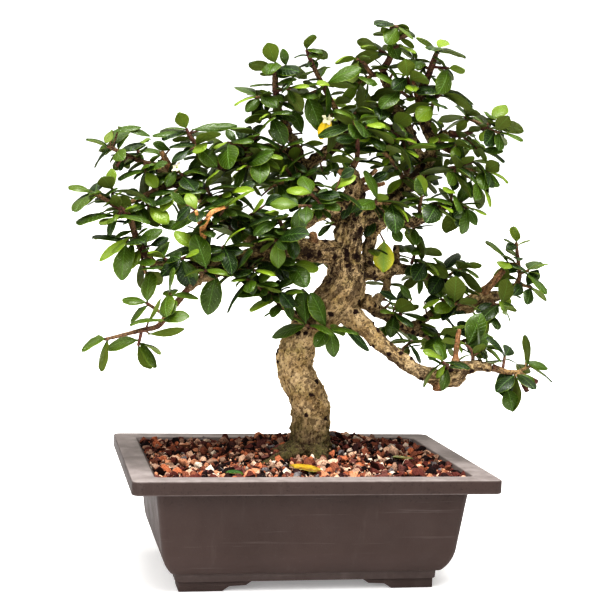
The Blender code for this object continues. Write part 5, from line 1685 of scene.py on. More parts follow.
def leaf_choice(corners, axis, draw, attempt, youngest):
    """One way to set a leaf on a face of a twig, a little shorter at every attempt."""
    root = sum(corners, Vector()) / len(corners)
    length = draw.uniform(*LEAF_LENGTH) * (YOUNG_LENGTH if youngest else 1.0) * (1 - TRY_SHRINK * attempt)
    if youngest:
        turn = draw.uniform(0, 2 * math.pi)
        opening = math.radians(draw.uniform(*YOUNG_OPENING))
        across = axis.orthogonal().normalized()
        out = turned(across, axis.cross(across), turn)
    else:
        normal = (corners[1] - corners[0]).cross(corners[2] - corners[0])
        normal = (normal - axis * normal.dot(axis)).normalized()
        out = Matrix.Rotation(math.radians(draw.uniform(-SIDE_TURN, SIDE_TURN)), 3, axis) @ normal
        opening = math.radians(draw.uniform(*SIDE_OPENING))
    heading = turned(axis, out, opening) + UP * LEAF_LIFT
    heading.z *= YOUNG_LEVEL if youngest else LEAF_LEVEL
    return drawn_leaf(root, heading, length, draw, LEAF_SLIMNESS, LEAF_ARCH)


def reach_of(leaf):
    """The middle of a leaf and how far it reaches from there."""
    return leaf_frame(leaf)(0.5)[0], leaf["length"] * 0.56 + 1


def crowds(leaf, twig):
    """Whether a leaf grows close beside another one in nearly the same direction."""
    return any(
        (leaf["root"] - other["root"]).length < CROWD_SPACING
        and leaf["heading"].dot(other["heading"]) > CROWD_HEADING
        for other in twig["leaves"])


def near_ones(leaf, placed):
    middle, reach = reach_of(leaf)
    return [entry for entry in placed if (entry[1] - middle).length < entry[2] + reach]


def take_room(name, leaf, placed, skin=None):
    placed.append((name, *reach_of(leaf), tree_of(leaf_solid(leaf)), skin))


def touches(probes, tree):
    return any(probe.overlap(tree) for probe in probes)


def has_room(name, whole, blade, near, solids, wands):
    """Whether a leaf clears the wood and the flowers, every twig and the leaves near it."""
    return not (
        any(touches(whole, solid) for solid in solids)
        or any(touches(blade if other == name else whole, wand) for other, wand in wands.items())
        or any(touches(blade, alone) if other == name else touches(whole, skin)
               for other, _, _, alone, skin in near))


def lay_out_leaves(layout, wood_tree, flowers):
    wands = {name: tree_of(*row["tubes"]) for name, row in layout.items()}
    solids = (wood_tree, tree_of(*flowers))
    placed = []
    for name, row in layout.items():
        for index, twig in enumerate(row["twigs"]):
            for slot in twig["slots"]:
                draw = random.Random(f"{name} {index} {slot}")
                youngest = slot == len(twig["faces"]) - 1
                corners = [twig["points"][corner] for corner in twig["faces"][slot]]
                for attempt in range(LEAF_TRIES):
                    leaf = leaf_choice(corners, twig["axis"], draw, attempt, youngest)
                    if crowds(leaf, twig):
                        continue
                    skin = tree_of(leaf_skin(corners, leaf))
                    whole = (tree_of(leaf_solid(leaf, grow=CLEARANCE)), skin)
                    blade = (tree_of(leaf_solid(leaf, CLEARANCE, BLADE_START)),)
                    if has_room(name, whole, blade, near_ones(leaf, placed), solids, wands):
                        take_room(name, leaf, placed, skin)
                        leaf["youngest"] = youngest
                        twig["leaves"].append(leaf)
                        break
    return placed


limbs = tree_of(*wood_shapes())
layout = lay_out_twigs(limbs)


def flower_foot(spray, index):
    """Where a flower's stalk starts and which way it points."""
    twig = layout[spray]["twigs"][index]
    return twig["tip"] + twig["axis"] * GAP, twig["axis"]


FLOWER_FEET = {name: flower_foot(*place) for name, place in FLOWERS.items()}
placed = lay_out_leaves(layout, limbs, [flower_shape(*foot) for foot in FLOWER_FEET.values()])
print(len(placed), "leaves lie where the CAD model has them")

# %% [markdown]
# ## More leaves
# A solid model can only afford its main leaves. The tree has as many small ones again, in
# threes and fours on the bare stretches of the stems and on short spurs from the limbs. Each is
# tried a few times against the wood and the other leaves, and left out where it finds no room.

# %% Leaves that stand out in the photograph
# A marked leaf's root and tip (x and y) and its width in pixels of the photograph, and its look.
PICTURE = 600
FACE_CAMERA = Vector((-0.2, -1.0, 0.4)).normalized()
MARKED_LEAVES = (
    (219, 272, 206, 313, 21, "mid"), (181, 261, 192, 286, 21, "dark"), (179, 257, 161, 272, 14, "dark"),
    (215, 251, 242, 248, 15, "dark"), (230, 268, 270, 284, 16, "dark"), (130, 237, 98, 256, 9, "lime"),
    (118, 218, 99, 228, 11, "olive"), (140, 240, 159, 227, 14, "mid"), (148, 334, 186, 334, 9, "olive"),
    (148, 322, 165, 299, 6, "olive"), (118, 127, 150, 131, 9, "mid"), (122, 150, 143, 141, 10, "dark"),
    (170, 150, 156, 141, 10, "mid"), (190, 150, 172, 158, 11, "dark"), (192, 130, 228, 122, 10, "mid"),
    (190, 133, 155, 130, 9, "mid"), (186, 205, 174, 192, 11, "mid"), (176, 222, 187, 206, 12, "dark"),
    (160, 226, 178, 222, 11, "mid"), (150, 246, 166, 236, 10, "dark"), (264, 206, 278, 194, 12, "dark"),
    (302, 134, 296, 112, 13, "mid"), (262, 150, 241, 127, 17, "dark"), (300, 178, 280, 156, 17, "mid"),
    (340, 178, 352, 168, 11, "dark"), (384, 240, 384, 271, 20, "yellowing"),
    (370, 182, 386, 171, 12, "dark"), (403, 157, 380, 139, 16, "dark"), (376, 218, 366, 234, 12, "dark"),
    (392, 228, 402, 240, 11, "mid"), (482, 170, 501, 183, 15, "mid"), (426, 196, 420, 178, 16, "mid"),
    (463, 209, 478, 223, 10, "mid"), (482, 150, 503, 148, 10, "mid"), (389, 40, 400, 57, 16, "mid"),
    (286, 66, 284, 50, 9, "mid"), (262, 100, 246, 108, 11, "mid"), (333, 119, 320, 136, 13, "yellow"),
    (205, 128, 236, 121, 9, "mid"), (112, 132, 139, 123, 9, "mid"), (112, 130, 106, 146, 8, "olive"),
    (160, 172, 152, 186, 9, "dark"), (176, 170, 166, 184, 10, "mid"), (205, 158, 188, 170, 10, "mid"),
    (238, 190, 254, 180, 11, "dark"), (262, 196, 248, 186, 9, "olive"), (322, 172, 336, 162, 9, "mid"),
    (398, 300, 384, 290, 9, "dark"), (412, 300, 404, 286, 9, "mid"), (520, 372, 536, 384, 12, "mid"),
    (279, 291, 294, 306, 15, "dark"), (328, 328, 335, 356, 14, "mid"), (343, 326, 372, 348, 10, "dark"),
    (505, 366, 510, 397, 22, "dark"), (507, 388, 514, 410, 17, "mid"), (525, 362, 549, 366, 9, "mid"),
    (470, 312, 446, 299, 18, "dark"), (476, 335, 462, 322, 15, "dark"), (424, 302, 438, 295, 10, "dark"),
    (430, 320, 444, 312, 9, "lime"))
SOBER_STEMS = {"lower_right_end": "dark", "trunk_sprout": "mid", "hanging_left": "olive"}
CAMERA_AXES = camera.matrix_world.to_3x3()


def seen_at(point):
    """The pixel at which the camera sees a point, and the pixels per millimetre there."""
    view = CAMERA_AXES.transposed() @ (point - CAMERA_PLACE)
    scale = PICTURE * FOCAL_SHARE / -view.z
    return Vector((PICTURE / 2 + scale * view.x, PICTURE / 2 - scale * view.y)), scale


def behind(pixel, depth):
    """The point at a given depth that the camera sees at a pixel."""
    reach = PICTURE * FOCAL_SHARE
    ray = CAMERA_AXES @ Vector(((pixel[0] - PICTURE / 2) / reach, (PICTURE / 2 - pixel[1]) / reach, -1))
    return CAMERA_PLACE + ray * ((depth - CAMERA_PLACE.y) / ray.y)


# %% Fill the stems and limbs with small rosettes
EXTRA_SEED = 31
STEM_SPACING = (6.0, 8.5)
LIMB_SPACING = (6.0, 15.0)
LIMB_GIRTH = 5.6
EXTRA_LENGTH = (10.0, 23.0)
EXTRA_TRIES = 5
EXTRA_OPENING = (35, 88)
EXTRA_SLIMNESS = (0.36, 0.54)
EXTRA_ARCH = (20, 65)
EXTRA_LIFT = 0.12
YOUNG_SHARE = 0.16
SPUR_REACH = (2.0, 6.0)
BOX_MARGIN = 0.6
BARE_STEMS = ("trunk_sprout", "hanging_left", "lower_right_end")
BARE_LIMBS = ("trunk", "lower_right", "front_low", "low_left", "left_primary", "front_diagonal")
LOOKS = {look: dict(zip(("age", "tone", "yellow"), values)) for look, values in {
    "dark": (0.02, 0.1, 0.0), "mid": (0.18, 0.75, 0.0), "olive": (0.35, 0.6, 0.0),
    "lime": (0.85, 0.8, 0.0), "yellowing": (1.0, 0.9, 0.44), "yellow": (0.7, 0.5, 1.0)}.items()}


def inside_box(points):
    """Whether points in millimetres lie well inside the CAD model's box."""
    margin = BOX_MARGIN * MM
    return all(low + margin < value < high - margin
               for point in points for value, low, high in zip(TO_MODEL @ point, CAD_LOW, CAD_HIGH))


def small_leaf(root, axis, out, draw):
    length = draw.uniform(*EXTRA_LENGTH)
    opening = math.radians(draw.uniform(*EXTRA_OPENING))
    heading = turned(axis, out, opening) + UP * EXTRA_LIFT
    heading.z *= LEAF_LEVEL
    leaf = drawn_leaf(root, heading, length, draw, EXTRA_SLIMNESS, EXTRA_ARCH)
    leaf["youngest"] = draw.random() < YOUNG_SHARE
    return leaf


def finds_room(leaf, name, taken):
    """Whether a leaf clears the wood, the box and every leaf so far, among which it then counts."""
    solid = leaf_solid(leaf, grow=0.15, first=0.14)
    tree = tree_of(solid)
    if not inside_box(solid[0]) or tree.overlap(limbs):
        return False
    if any(tree.overlap(entry[3]) for entry in near_ones(leaf, taken)):
        return False
    take_room(name, leaf, taken)
    return True


def rosette(root, axis, girth, leaves, name, draw, taken):
    """The leaves round one point of a stem that found room."""
    across = axis.orthogonal().normalized()
    turn = draw.uniform(0, 2 * math.pi)
    kept = []
    for index in range(leaves):
        for _ in range(EXTRA_TRIES):
            angle = turn + 2 * math.pi * index / leaves + draw.uniform(-0.5, 0.5)
            out = turned(across, axis.cross(across), angle)
            leaf = small_leaf(root + out * girth * 0.5, axis, out, draw)
            if finds_room(leaf, name, taken):
                kept.append(leaf)
                break
    return kept


def fill_stems(taken):
    """Small rosettes on the bare parts of every spray but those in BARE_STEMS."""
    extra = {}
    for name, row in layout.items():
        draw = random.Random(f"{EXTRA_SEED} {name}")
        extra[name] = []
        if name in BARE_STEMS:
            continue
        for twig in row["twigs"]:
            route = twig["route"]
            total = route_length(route)
            reach = draw.uniform(3.5, 6.0)
            while reach < total - 2.5:
                place, girth = point_along(route, reach)
                ahead, _ = point_along(route, min(total, reach + 0.5))
                axis = (ahead - place).normalized()
                extra[name] += rosette(place, axis, girth, draw.choice((2, 3, 3)), name, draw, taken)
                reach += STEM_SPACING[place.x > TRUNK_FOOT[0]] * draw.uniform(0.7, 1.3)
    return extra


def line_points():
    """Points along all limbs, stems and spurs, each with its limb's name."""
    points = []
    for name, route in LIMBS.items():
        points += [(name, point) for point, _ in flowing(route, 1.0)]
    for name, row in layout.items():
        for route in [row["stem"]] + [twig["route"] for twig in row["twigs"]]:
            points += [(SPRAYS[name][0], point) for point, _ in flowing(route, 1.0)]
    return points


def fill_limbs(taken):
    """Short spurs on the thinner limbs: where each runs, and its leaves."""
    spurs = []
    for name, limb in LIMBS.items():
        draw = random.Random(f"{EXTRA_SEED} {name}")
        fine = flowing(limb, 1.0)
        reach = draw.uniform(4, 9)
        while reach < len(fine) - 2:
            (a, girth), (b, _) = fine[int(reach)], fine[int(reach) + 1]
            run = (b - a).normalized()
            out = (around(run, draw) + UP * 0.45 + run * 0.5).normalized()
            if girth < LIMB_GIRTH and name not in BARE_LIMBS:
                tip = a + out * (girth + draw.uniform(*SPUR_REACH))
                leaves = rosette(tip, out, 0.9, draw.choice((3, 4, 4)), name, draw, taken)
                if leaves:
                    spurs.append((name, [(a + out * girth * 0.7, 1.3), (tip, 0.9)], leaves))
            reach += LIMB_SPACING[a.x > TRUNK_FOOT[0]] * draw.uniform(0.6, 1.4)
    return spurs


def marked_leaves(taken):
    """Each marked leaf sits on the foremost stem or limb behind its marked root."""
    line = line_points()
    seen = np.array([seen_at(point)[0] for _, point in line])
    grown_leaves = []
    for *marked_root, tip_x, tip_y, marked_width, look in MARKED_LEAVES:
        gaps = np.hypot(*(seen - marked_root).T)
        near = [line[index] for index in np.flatnonzero(gaps < max(3.0, gaps.min() + 1))]
        name, foot = min(near, key=lambda entry: entry[1].y)
        root = foot if gaps.min() < 4 else behind(marked_root, foot.y - 1)
        tip = behind((tip_x, tip_y), foot.y - 7)
        run = tip - root
        width = marked_width / seen_at(foot)[1]
        facing = FACE_CAMERA + UP * 0.35
        leaf = {"root": root, "heading": run.normalized(), "facing": -facing if look == "olive" else facing,
                "roll": 0.0, "length": run.length * 1.04, "width": width, "arch": 0.5, **LOOKS[look]}
        take_room(name, leaf, taken)
        grown_leaves.append((name, [(foot, 0.9), (root + run * 0.04, 0.6)], [leaf]))
    return grown_leaves


for sober_name, sober_look in SOBER_STEMS.items():
    for twig in layout[sober_name]["twigs"]:
        for sober_leaf in twig["leaves"]:
            sober_leaf.update(LOOKS[sober_look])
marked = marked_leaves(placed)
stem_extra = fill_stems(placed)
limb_extra = fill_limbs(placed) + marked
print(sum(len(leaves) for leaves in stem_extra.values()), "small leaves on stems,",
      sum(len(leaves) for _, _, leaves in limb_extra), "on", len(limb_extra), "spurs of the limbs")

# %% [markdown]
# ## One leaf, and all of them
# The leaf is a long wedge with a broad round tip: a thin closed solid of a few dozen faces with
# a groove over the midrib and a keel below it. A Geometry Nodes tree sets a copy on every
# leaf's root and bends it along the same arc as the CAD model, with a little twist and ripple.

# %% The blade
BLADE_ROWS = (0.0, 0.07, 0.14, 0.26, 0.42, 0.6, 0.76, 0.89, 0.965)
BLADE_COLUMNS = (-1.0, -0.55, 0.0, 0.55, 1.0)
CROSS_CURVE = {-1.0: -0.5, -0.55: 0.35, 0.0: 0.0, 0.55: 0.35, 1.0: -0.5}
BLADE_REACH = 1.08
SKIN_TOP = 0.2
SKIN_GROOVE = 0.06
SKIN_KEEL = 0.5
SKIN_STALK = 0.42
BLADE_CREASE = 2.2


def leaf_outline(share):
    """How wide the fine leaf is: a short stalk, a full middle and a round tip."""
    blade = max(0.0, share - 0.05) / 0.95
    return BLADE_REACH * math.sin(math.pi * blade ** 1.12) ** 0.68


def blade_mesh():
    """A flat leaf that carries its own coordinates for the tree to bend."""
    points, blade, skin, faces, under = [], [], [], [], []
    size = len(BLADE_COLUMNS)
    for above in (True, False):
        for row in BLADE_ROWS:
            stalk = max(0.0, 1 - row / 0.2)
            for column in BLADE_COLUMNS:
                at_edge = abs(column) == 1.0
                lift = SKIN_TOP if column else SKIN_GROOVE
                if not above:
                    lift = -SKIN_TOP if column else -SKIN_KEEL * (1 - 0.6 * row)
                lift += (SKIN_STALK if above else -SKIN_STALK * 0.4) * stalk * (0.5 if at_edge else 1.0)
                lift = 0.0 if at_edge and row else lift
                points.append((row, column * max(0.03, leaf_outline(row)) / 4, lift * 0.02))
                blade.append((row, column, leaf_outline(row)))
                skin.append((CROSS_CURVE[column] * (1 - stalk), lift * MM, 0))

    def add(below, *face):
        faces.append(face)
        under.append(below)

    tip = len(points)
    lower = tip // 2
    last = lower - size
    points.append((1, 0, 0))
    blade.append((1, 0, 0))
    skin.append((0, 0, 0))
    for row in range(0, last, size):
        for a in range(row, row + size - 1):
            b = lower + a
            add(0.0, a, a + 1, a + 1 + size, a + size)
            add(1.0, b, b + size, b + size + 1, b + 1)
    for a in range(last, last + size - 1):
        add(0.0, a, a + 1, tip)
        add(1.0, lower + a, tip, lower + a + 1)
    add(1.0, *range(size - 1, -1, -1), *range(lower, lower + size))
    return points, faces, blade, skin, under


def make_blade():
    points, faces, blade, skin, under = blade_mesh()
    made = new_object("leaf_blade", bpy.data.meshes.new("leaf_blade"))
    made.data.from_pydata(points, [], faces)
    give_attribute(made, "blade", "FLOAT_VECTOR", blade)
    give_attribute(made, "skin", "FLOAT_VECTOR", skin)
    give_attribute(made, "under", "FLOAT", under, "FACE")
    size = len(BLADE_COLUMNS)
    lower = len(points) // 2
    with edited(made.data) as shell:
        shell.verts.ensure_lookup_table()
        edge_points = [row + column for row in range(size, lower, size) for column in (0, size - 1)]
        seam = {shell.verts[lower + point]: shell.verts[point] for point in edge_points}
        bmesh.ops.weld_verts(shell, targetmap=seam)
        for edge in shell.edges:
            edge.smooth = abs(edge.calc_face_angle(0.0)) < BLADE_CREASE
    made.hide_render = True
    return made


blade_object = make_blade()
print("the blade has", len(blade_object.data.polygons), "faces")

# %% The tree that sets and bends the leaves
LEAF_FIELDS = ("root", "heading", "side", "size", "quirk", "look")


def leaf_graph():
    g, points = geometry_graph("set_leaves", {"Blade": "Object", "Stalk": "Float", "Material": "Material"})

    def field(name):
        return g.node("GeometryNodeInputNamedAttribute", {"data_type": "FLOAT_VECTOR"}, {"Name": name})

    shape = g.node("GeometryNodeObjectInfo", None, {"Object": points.out("Blade")}, "Geometry")
    copies = g.node("GeometryNodeInstanceOnPoints", None, {"Points": points, "Instance": shape})
    real = g.node("GeometryNodeRealizeInstances", None, {"Geometry": copies})
    along, column, outline = g.parts(field("blade"))
    curve, lift, _ = g.parts(field("skin"))
    length, width, arch = g.parts(field("size"))
    cup, twist, ripple = g.parts(field("quirk"))
    heading = field("heading")
    side = field("side")
    normal = g.maths("CROSS_PRODUCT", side, heading)
    bend = arch * along
    cosine = g.maths("COSINE", bend)
    sine = g.maths("SINE", bend)
    middle = field("root") + (sine * heading - (1 - cosine) * normal) * (length / arch)
    across = cosine * normal + sine * heading
    turn = twist * along
    turned_side = side * g.maths("COSINE", turn) + across * g.maths("SINE", turn)
    turned_up = across * g.maths("COSINE", turn) - side * g.maths("SINE", turn)
    half = g.maths("MAXIMUM", points.out("Stalk"), width * 0.5 * outline)
    wave = g.maths("SINE", along * 13.0 + column * 2.0) * ripple * outline * column * column
    rise = (curve * cup + wave) * width + lift
    place = middle + turned_side * (half * column) + turned_up * rise
    bent = g.node("GeometryNodeSetPosition", None, {"Geometry": real, "Position": place})
    finish_geometry(g, bent, points.out("Material"))
    return g


LEAF_GRAPH = leaf_graph()


def leaf_points(name, leaves, seed):
    """A point for each leaf, with what the tree has to know about it."""
    draw = random.Random(seed)
    rows = []
    for leaf in leaves:
        quirk = (draw.uniform(0.02, 0.2), draw.uniform(-0.35, 0.35), draw.uniform(0.0, 0.035))
        age = draw.uniform(0.25, 1.0) if leaf.get("youngest") else draw.betavariate(1.2, 5.0) * 0.6
        tone = draw.random()
        rows.append((
            TO_MODEL @ leaf["root"], leaf["heading"], leaf_frame(leaf)(0)[1],
            (leaf["length"] * MM, leaf["width"] * MM, leaf["arch"]), quirk,
            (leaf.get("age", age), leaf.get("tone", tone), leaf.get("yellow", 0.0))))
    made = mesh_object(name, [leaf["root"] for leaf in leaves], [])
    for key, values in zip(LEAF_FIELDS, zip(*rows)):
        give_attribute(made, key, "FLOAT_VECTOR", values)
    return made


print("the leaf tree bends blades by", ", ".join(LEAF_FIELDS))

# %% [markdown]
# A leaf is deep green and glossy above, with a paler midrib, side veins and the small white
# dots that this species is known for, and a painted highlight lightens its edge. The underside
# is dull and olive. Young leaves are lime green, and old ones turn yellow from the edge. Three
# numbers for each leaf steer all of this.

# %% The leaf's finish
LEAF_DEEP = (0.010, 0.024, 0.003)
LEAF_GREEN = (0.055, 0.095, 0.007)
LEAF_LIME = (0.20, 0.28, 0.024)
LEAF_OLIVE = (0.145, 0.175, 0.030)
LEAF_YELLOW = (0.78, 0.55, 0.03)
LEAF_VEIN = (0.16, 0.30, 0.06)
LEAF_SPECK = (0.62, 0.72, 0.5)
LEAF_BROWN = (0.13, 0.06, 0.02)


def leaf_finish(name, base=None):
    """A living leaf's finish, or a dropped one's with a base colour."""
    material, g, place = new_finish(name)
    along, column, outline = g.parts(g.attribute("blade"))
    age, tone, yellow = g.parts(g.attribute("look"))
    under = g.attribute("under").out("Fac")
    off = g.maths("ABSOLUTE", column)
    blotch = g.noise(place, 140.0, 4.0, 0.6)
    colour = g.mix(g.ease(0.6 * tone + 0.5 * blotch, 0.35, 0.85), LEAF_DEEP, LEAF_GREEN)
    colour = g.mix(g.ease(age, 0.12, 0.95), colour, LEAF_LIME)
    if base:
        colour = g.mix(g.ease(blotch, 0.35, 0.65), base, tuple(0.5 * part for part in base))
        dying = g.ease(0.5 * off + 0.9 * g.noise(place, 230.0, 5.0, 0.7), 0.72, 0.92)
        colour = g.mix(dying * 0.8, colour, LEAF_BROWN)
    midrib = 1 - g.ease(off * outline, 0.015, 0.075)
    stripe = g.maths("FRACT", along * 9.0 - off * 2.2)
    vein = 1 - g.ease(g.maths("ABSOLUTE", stripe - 0.5), 0.03, 0.16)
    dots = g.ease(g.noise(place, 1500.0, 2.0, 0.5), 0.69, 0.74) * (1 - under)
    colour = g.layers(
        colour,
        (g.ease(yellow * (0.55 + 0.6 * off + 0.4 * blotch), 0.35, 0.85), LEAF_YELLOW),
        (under * 0.75, g.mix(age * 0.6, LEAF_OLIVE, LEAF_LIME)),
        (g.maths("MINIMUM", 0.75 * midrib + 0.3 * vein, 1.0) * 0.5, LEAF_VEIN),
        # painted highlight: a light line along the edge of the upper side
        (g.ease(off, 0.9, 1.0) * (1 - under) * 0.6, LEAF_LIME),
        (dots * 0.75, LEAF_SPECK))
    roughness = 0.26 + 0.12 * blotch + 0.3 * under + 0.3 * dots
    relief = 0.5 * g.noise(place, 420.0, 3.0, 0.6) - 0.4 * midrib - 0.35 * vein
    set_surface(g, colour, roughness, relief, 0.4, Specular_IOR_Level=0.36)
    return material


LEAF_FINISH = leaf_finish("glossy_leaf")


def grown_leaves(name, leaves, seed, finish=LEAF_FINISH, stalk=0.55):
    """The fine blades of some leaves. stalk is half their least width in millimetres."""
    return grown(leaf_points(name, leaves, seed), LEAF_GRAPH, {
        "Blade": blade_object, "Stalk": stalk * MM, "Material": finish})


print("the leaf's finish is ready")

# %% [markdown]
# ## Twigs
# A real stem has a ring where every old leaf sat; here noise makes each thin twig swell and
# narrow at random. Twigs are drawn as lines with a girth at each point, and a second tree sweeps
# an uneven ring along them.

# %% The tree that thickens the twigs
TWIG_SIDES = 7
TWIG_STEP = 1.1


def twig_graph():
    g, lines = geometry_graph("thicken_twigs", {"Step": "Float", "Sides": "Int", "Material": "Material"})
    curve = g.node("GeometryNodeMeshToCurve", None, {"Mesh": lines})
    girth = g.node("GeometryNodeInputNamedAttribute", {"data_type": "FLOAT"}, {"Name": "girth"})
    sized = g.node("GeometryNodeSetCurveRadius", None, {"Curve": curve, "Radius": girth})
    fine = g.node(
        "GeometryNodeResampleCurve", {"mode": "LENGTH"}, {"Curve": sized, "Length": lines.out("Step")})
    place = g.node("GeometryNodeInputPosition")
    rings = g.noise(place, 420.0, 2.0, 0.5)
    radius = g.node("GeometryNodeInputRadius")
    knobbly = radius * (0.72 + 0.5 * rings)
    ring = g.node("GeometryNodeCurvePrimitiveCircle", None, {"Resolution": lines.out("Sides"), "Radius": 1.0})
    swept = g.node(
        "GeometryNodeCurveToMesh", None,
        {"Curve": fine, "Profile Curve": ring, "Scale": knobbly, "Fill Caps": True})
    finish_geometry(g, swept, lines.out("Material"))
    return g


TWIG_GRAPH = twig_graph()


def twig_lines(name, routes):
    """Lines through each route's points, with the girth in metres."""
    points, edges, girths = [], [], []
    for route in routes:
        for index, (place, radius) in enumerate(route):
            if index:
                edges.append((len(points) - 1, len(points)))
            points.append(place)
            girths.append(radius * MM)
    made = mesh_object(name, points, [], edges)
    give_attribute(made, "girth", "FLOAT", girths)
    return made


# %% The twig's finish
TWIG_BROWN = (0.17, 0.10, 0.048)
TWIG_RED = (0.12, 0.040, 0.028)
TWIG_PALE = (0.36, 0.235, 0.10)
TWIG_DARK = (0.022, 0.01, 0.008)


def twig_finish(name, pale, tint=0.0):
    material, g, place = new_finish(name)
    patches = g.noise(place, 75.0, 4.0, 0.6)
    fine = g.noise(place, 900.0, 4.0, 0.65)
    colour = g.mix(g.ease(patches, 0.4, 0.62), TWIG_BROWN, TWIG_RED)
    colour = g.mix(g.ease(g.noise(place, 40.0, 3.0, 0.5), 0.52, 0.68) * 0.8, colour, pale)
    colour = g.mix(tint, colour, pale)
    colour = g.mix(g.ease(fine, 0.47, 0.6) * (0.85 - 0.4 * tint), colour, TWIG_DARK)
    set_surface(g, colour, 0.7 + 0.2 * fine, fine, 0.7)
    return material


TWIG_FINISH = twig_finish("knobbly_twig", TWIG_PALE)


def grown_twigs(name, routes, finish=TWIG_FINISH, step=TWIG_STEP, sides=TWIG_SIDES):
    return grown(twig_lines(name, routes), TWIG_GRAPH, {
        "Step": step * MM, "Sides": sides, "Material": finish})


print("the twig tree sweeps rings of", TWIG_SIDES, "sides")

# %% [markdown]
# ## The foliage
# Now the plan, the leaf and the twig come together. The crown is kept in eight pieces, so that
# no mesh gets too heavy. Each stands for the CAD sprays that grow in its part of the tree.

# %% Grow the foliage, region by region
REGIONS = {
    "foliage_left_low": ("low_left", "left_primary", "front_low", "orange_fork"),
    "foliage_left_high": ("far_left", "far_left_knob", "left_limb_fork", "left_limb"),
    "foliage_top_left": ("top_left", "upper_mid"),
    "foliage_front": ("front_diagonal", "knot", "trunk"),
    "foliage_top_right": ("apex", "right_top", "right_upper"),
    "foliage_right": ("right_far", "right_limb", "right_high", "riser", "mid_riser", "cross_riser"),
    "foliage_right_low": ("right_block", "mid_right", "lower_right"),
    "foliage_back": ("back_left", "back_right", "back_low", "back_top"),
}

# The bare pruned fork above the orange limb: pixels, each with its depth and radius.
FORK_ORANGE = (0.88, 0.44, 0.17)
FORK_FOOT = Vector((-79.0, -34.0, 244.0))
FORK_JOINT = ((203, 228), -44.0, 2.5)
FORK_ARMS = (
    (((207, 220), -49.0, 2.0), ((212, 212), -53.0, 1.7), ((225, 207), -56.0, 1.2)),
    (((199, 222), -50.0, 1.7), ((196, 211), -55.0, 1.2)))


def bare_fork():
    joint = (behind(*FORK_JOINT[:2]), FORK_JOINT[2])
    foot = (FORK_FOOT, 2.6)
    arms = [[(behind(pixel, depth), radius) for pixel, depth, radius in arm] for arm in FORK_ARMS]
    return [flowing([foot, joint] + arm, 2.0) for arm in arms]


def grow_region(region, hosts):
    sprays = [name for name, row in SPRAYS.items() if row[0] in hosts]
    routes, leaves = [], []
    for name in sprays:
        for twig in layout[name]["twigs"]:
            routes.append(flowing(twig["route"], 3.0))
            leaves += twig["leaves"]
        leaves += stem_extra[name]
    for host, route, more in limb_extra:
        if host in hosts:
            routes.append(route)
            leaves += more
    pieces = [grown_leaves(region, leaves, region), grown_twigs(region + "_twigs", routes)]
    if "orange_fork" in hosts:
        pieces.append(grown_twigs("bare_fork", bare_fork(), twig_finish("orange_twig", FORK_ORANGE, 0.75)))
    piece = joined(region, pieces)
    print(region, "has", len(leaves), "leaves")
    hand_over(piece, ["spray_" + name for name in sprays])


for region_name, region_hosts in REGIONS.items():
    grow_region(region_name, region_hosts)

# %% [markdown]
# ## Flowers
# The tree was in bloom: small cream stars of five pointed petals. A petal is a small arching
# blade, so the leaf tree makes it too. The stalk and its cup come from the twig tree.

# %% Petals, cup and stalk
PETAL_CREAM = (0.80, 0.75, 0.56)
PETAL_HEART = (0.62, 0.60, 0.25)


def petal_finish():
    material, g, _ = new_finish("cream_petal")
    along, _, _ = g.parts(g.attribute("blade"))
    colour = g.mix(g.ease(along, 0.0, 0.4), PETAL_HEART, PETAL_CREAM)
    streak = g.noise(g.maths("MULTIPLY", g.attribute("blade"), (3.0, 9.0, 1.0)), 1.0, 3.0)
    set_surface(g, g.mix(streak * 0.3, colour, (0.66, 0.6, 0.4)), 0.5 + 0.2 * streak, streak, 0.2)
    return material


def stalk_finish():
    material, g, place = new_finish("green_stalk")
    patches = g.noise(place, 300.0, 3.0)
    set_surface(g, g.mix(patches, (0.12, 0.2, 0.05), (0.2, 0.28, 0.08)), 0.5 + 0.2 * patches, patches, 0.2)
    return material


PETAL_FINISH = petal_finish()
STALK_FINISH = stalk_finish()


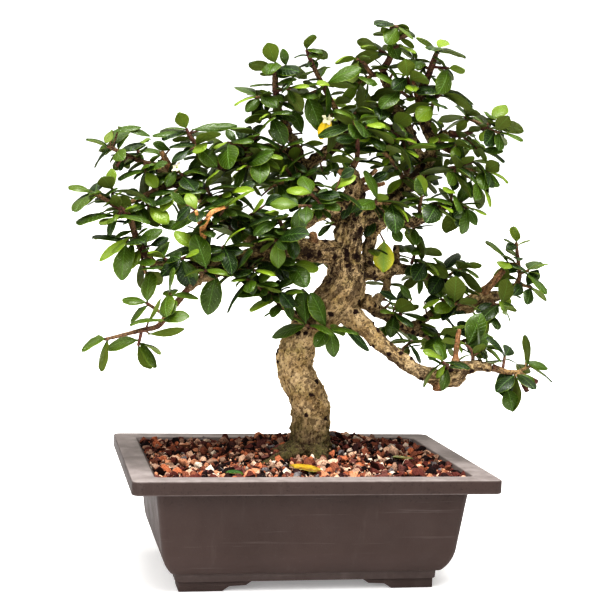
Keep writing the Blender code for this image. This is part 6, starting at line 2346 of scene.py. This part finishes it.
def make_flower(name, foot, axis):
    side = axis.orthogonal().normalized()
    heart = foot + axis * (FLOWER_STALK + 0.6)
    petals = []
    for index in range(PETALS):
        out = turned(side, axis.cross(side), 2 * math.pi * index / PETALS)
        petals.append({
            "root": heart, "heading": (out + axis * 0.55).normalized(), "facing": axis, "roll": 0.0,
            "length": FLOWER_RADIUS * 0.98, "width": FLOWER_RADIUS * 0.62, "arch": 0.5})
    star = grown_leaves(name + "_star", petals, name, PETAL_FINISH, 0.3)
    stalk = [(foot, 0.45), (foot + axis * (FLOWER_STALK - 1.5), 0.5), (foot + axis * FLOWER_STALK, 1.1),
             (heart + axis * 0.5, 0.8), (heart + axis * 1.6, 0.3)]
    cup = grown_twigs(name + "_cup", [stalk], STALK_FINISH, 0.5, 8)
    piece = joined(name + "_dressed", [star, cup])
    hand_over(piece, [name])


for flower_name, flower_place in FLOWER_FEET.items():
    make_flower(flower_name, *flower_place)

# %% [markdown]
# ## Leaves on the gravel
# Three leaves have dropped: a green one, a yellow one and a pale one. They reuse the blade,
# each with a finish of its own, and lie as high as their CAD nodes do.

# %% Dropped leaves
FALLEN_FINISHES = {
    "fallen_leaf_green": ("fallen_green", (0.035, 0.15, 0.014), "leaf"),
    "fallen_leaf_yellow": ("fallen_yellow", (0.60, 0.38, 0.03), "yellow_leaf"),
    "fallen_leaf_pale": ("fallen_pale", (0.36, 0.46, 0.2), "pale_leaf"),
}


def make_fallen(name):
    x, y, turn, length = FALLEN[name]
    finish, colour, slot = FALLEN_FINISHES[name]
    heading = Matrix.Rotation(math.radians(turn), 3, "Z") @ Vector((1, 0, 0.06)).normalized()
    leaf = {"root": Vector((x, y, 0)), "heading": heading, "facing": UP, "roll": 0.12, "length": length,
            "width": length * 0.58, "arch": 0.35}
    low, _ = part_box(name)
    leaf["root"].z = low.z / MM - min(point.z for point in leaf_solid(leaf)[0])
    piece = grown_leaves(name + "_dressed", [leaf], name, leaf_finish(finish, colour), 0.5)
    hand_over(piece, [name])


for fallen_name in FALLEN:
    make_fallen(fallen_name)
bpy.data.objects.remove(blade_object, do_unlink=True)
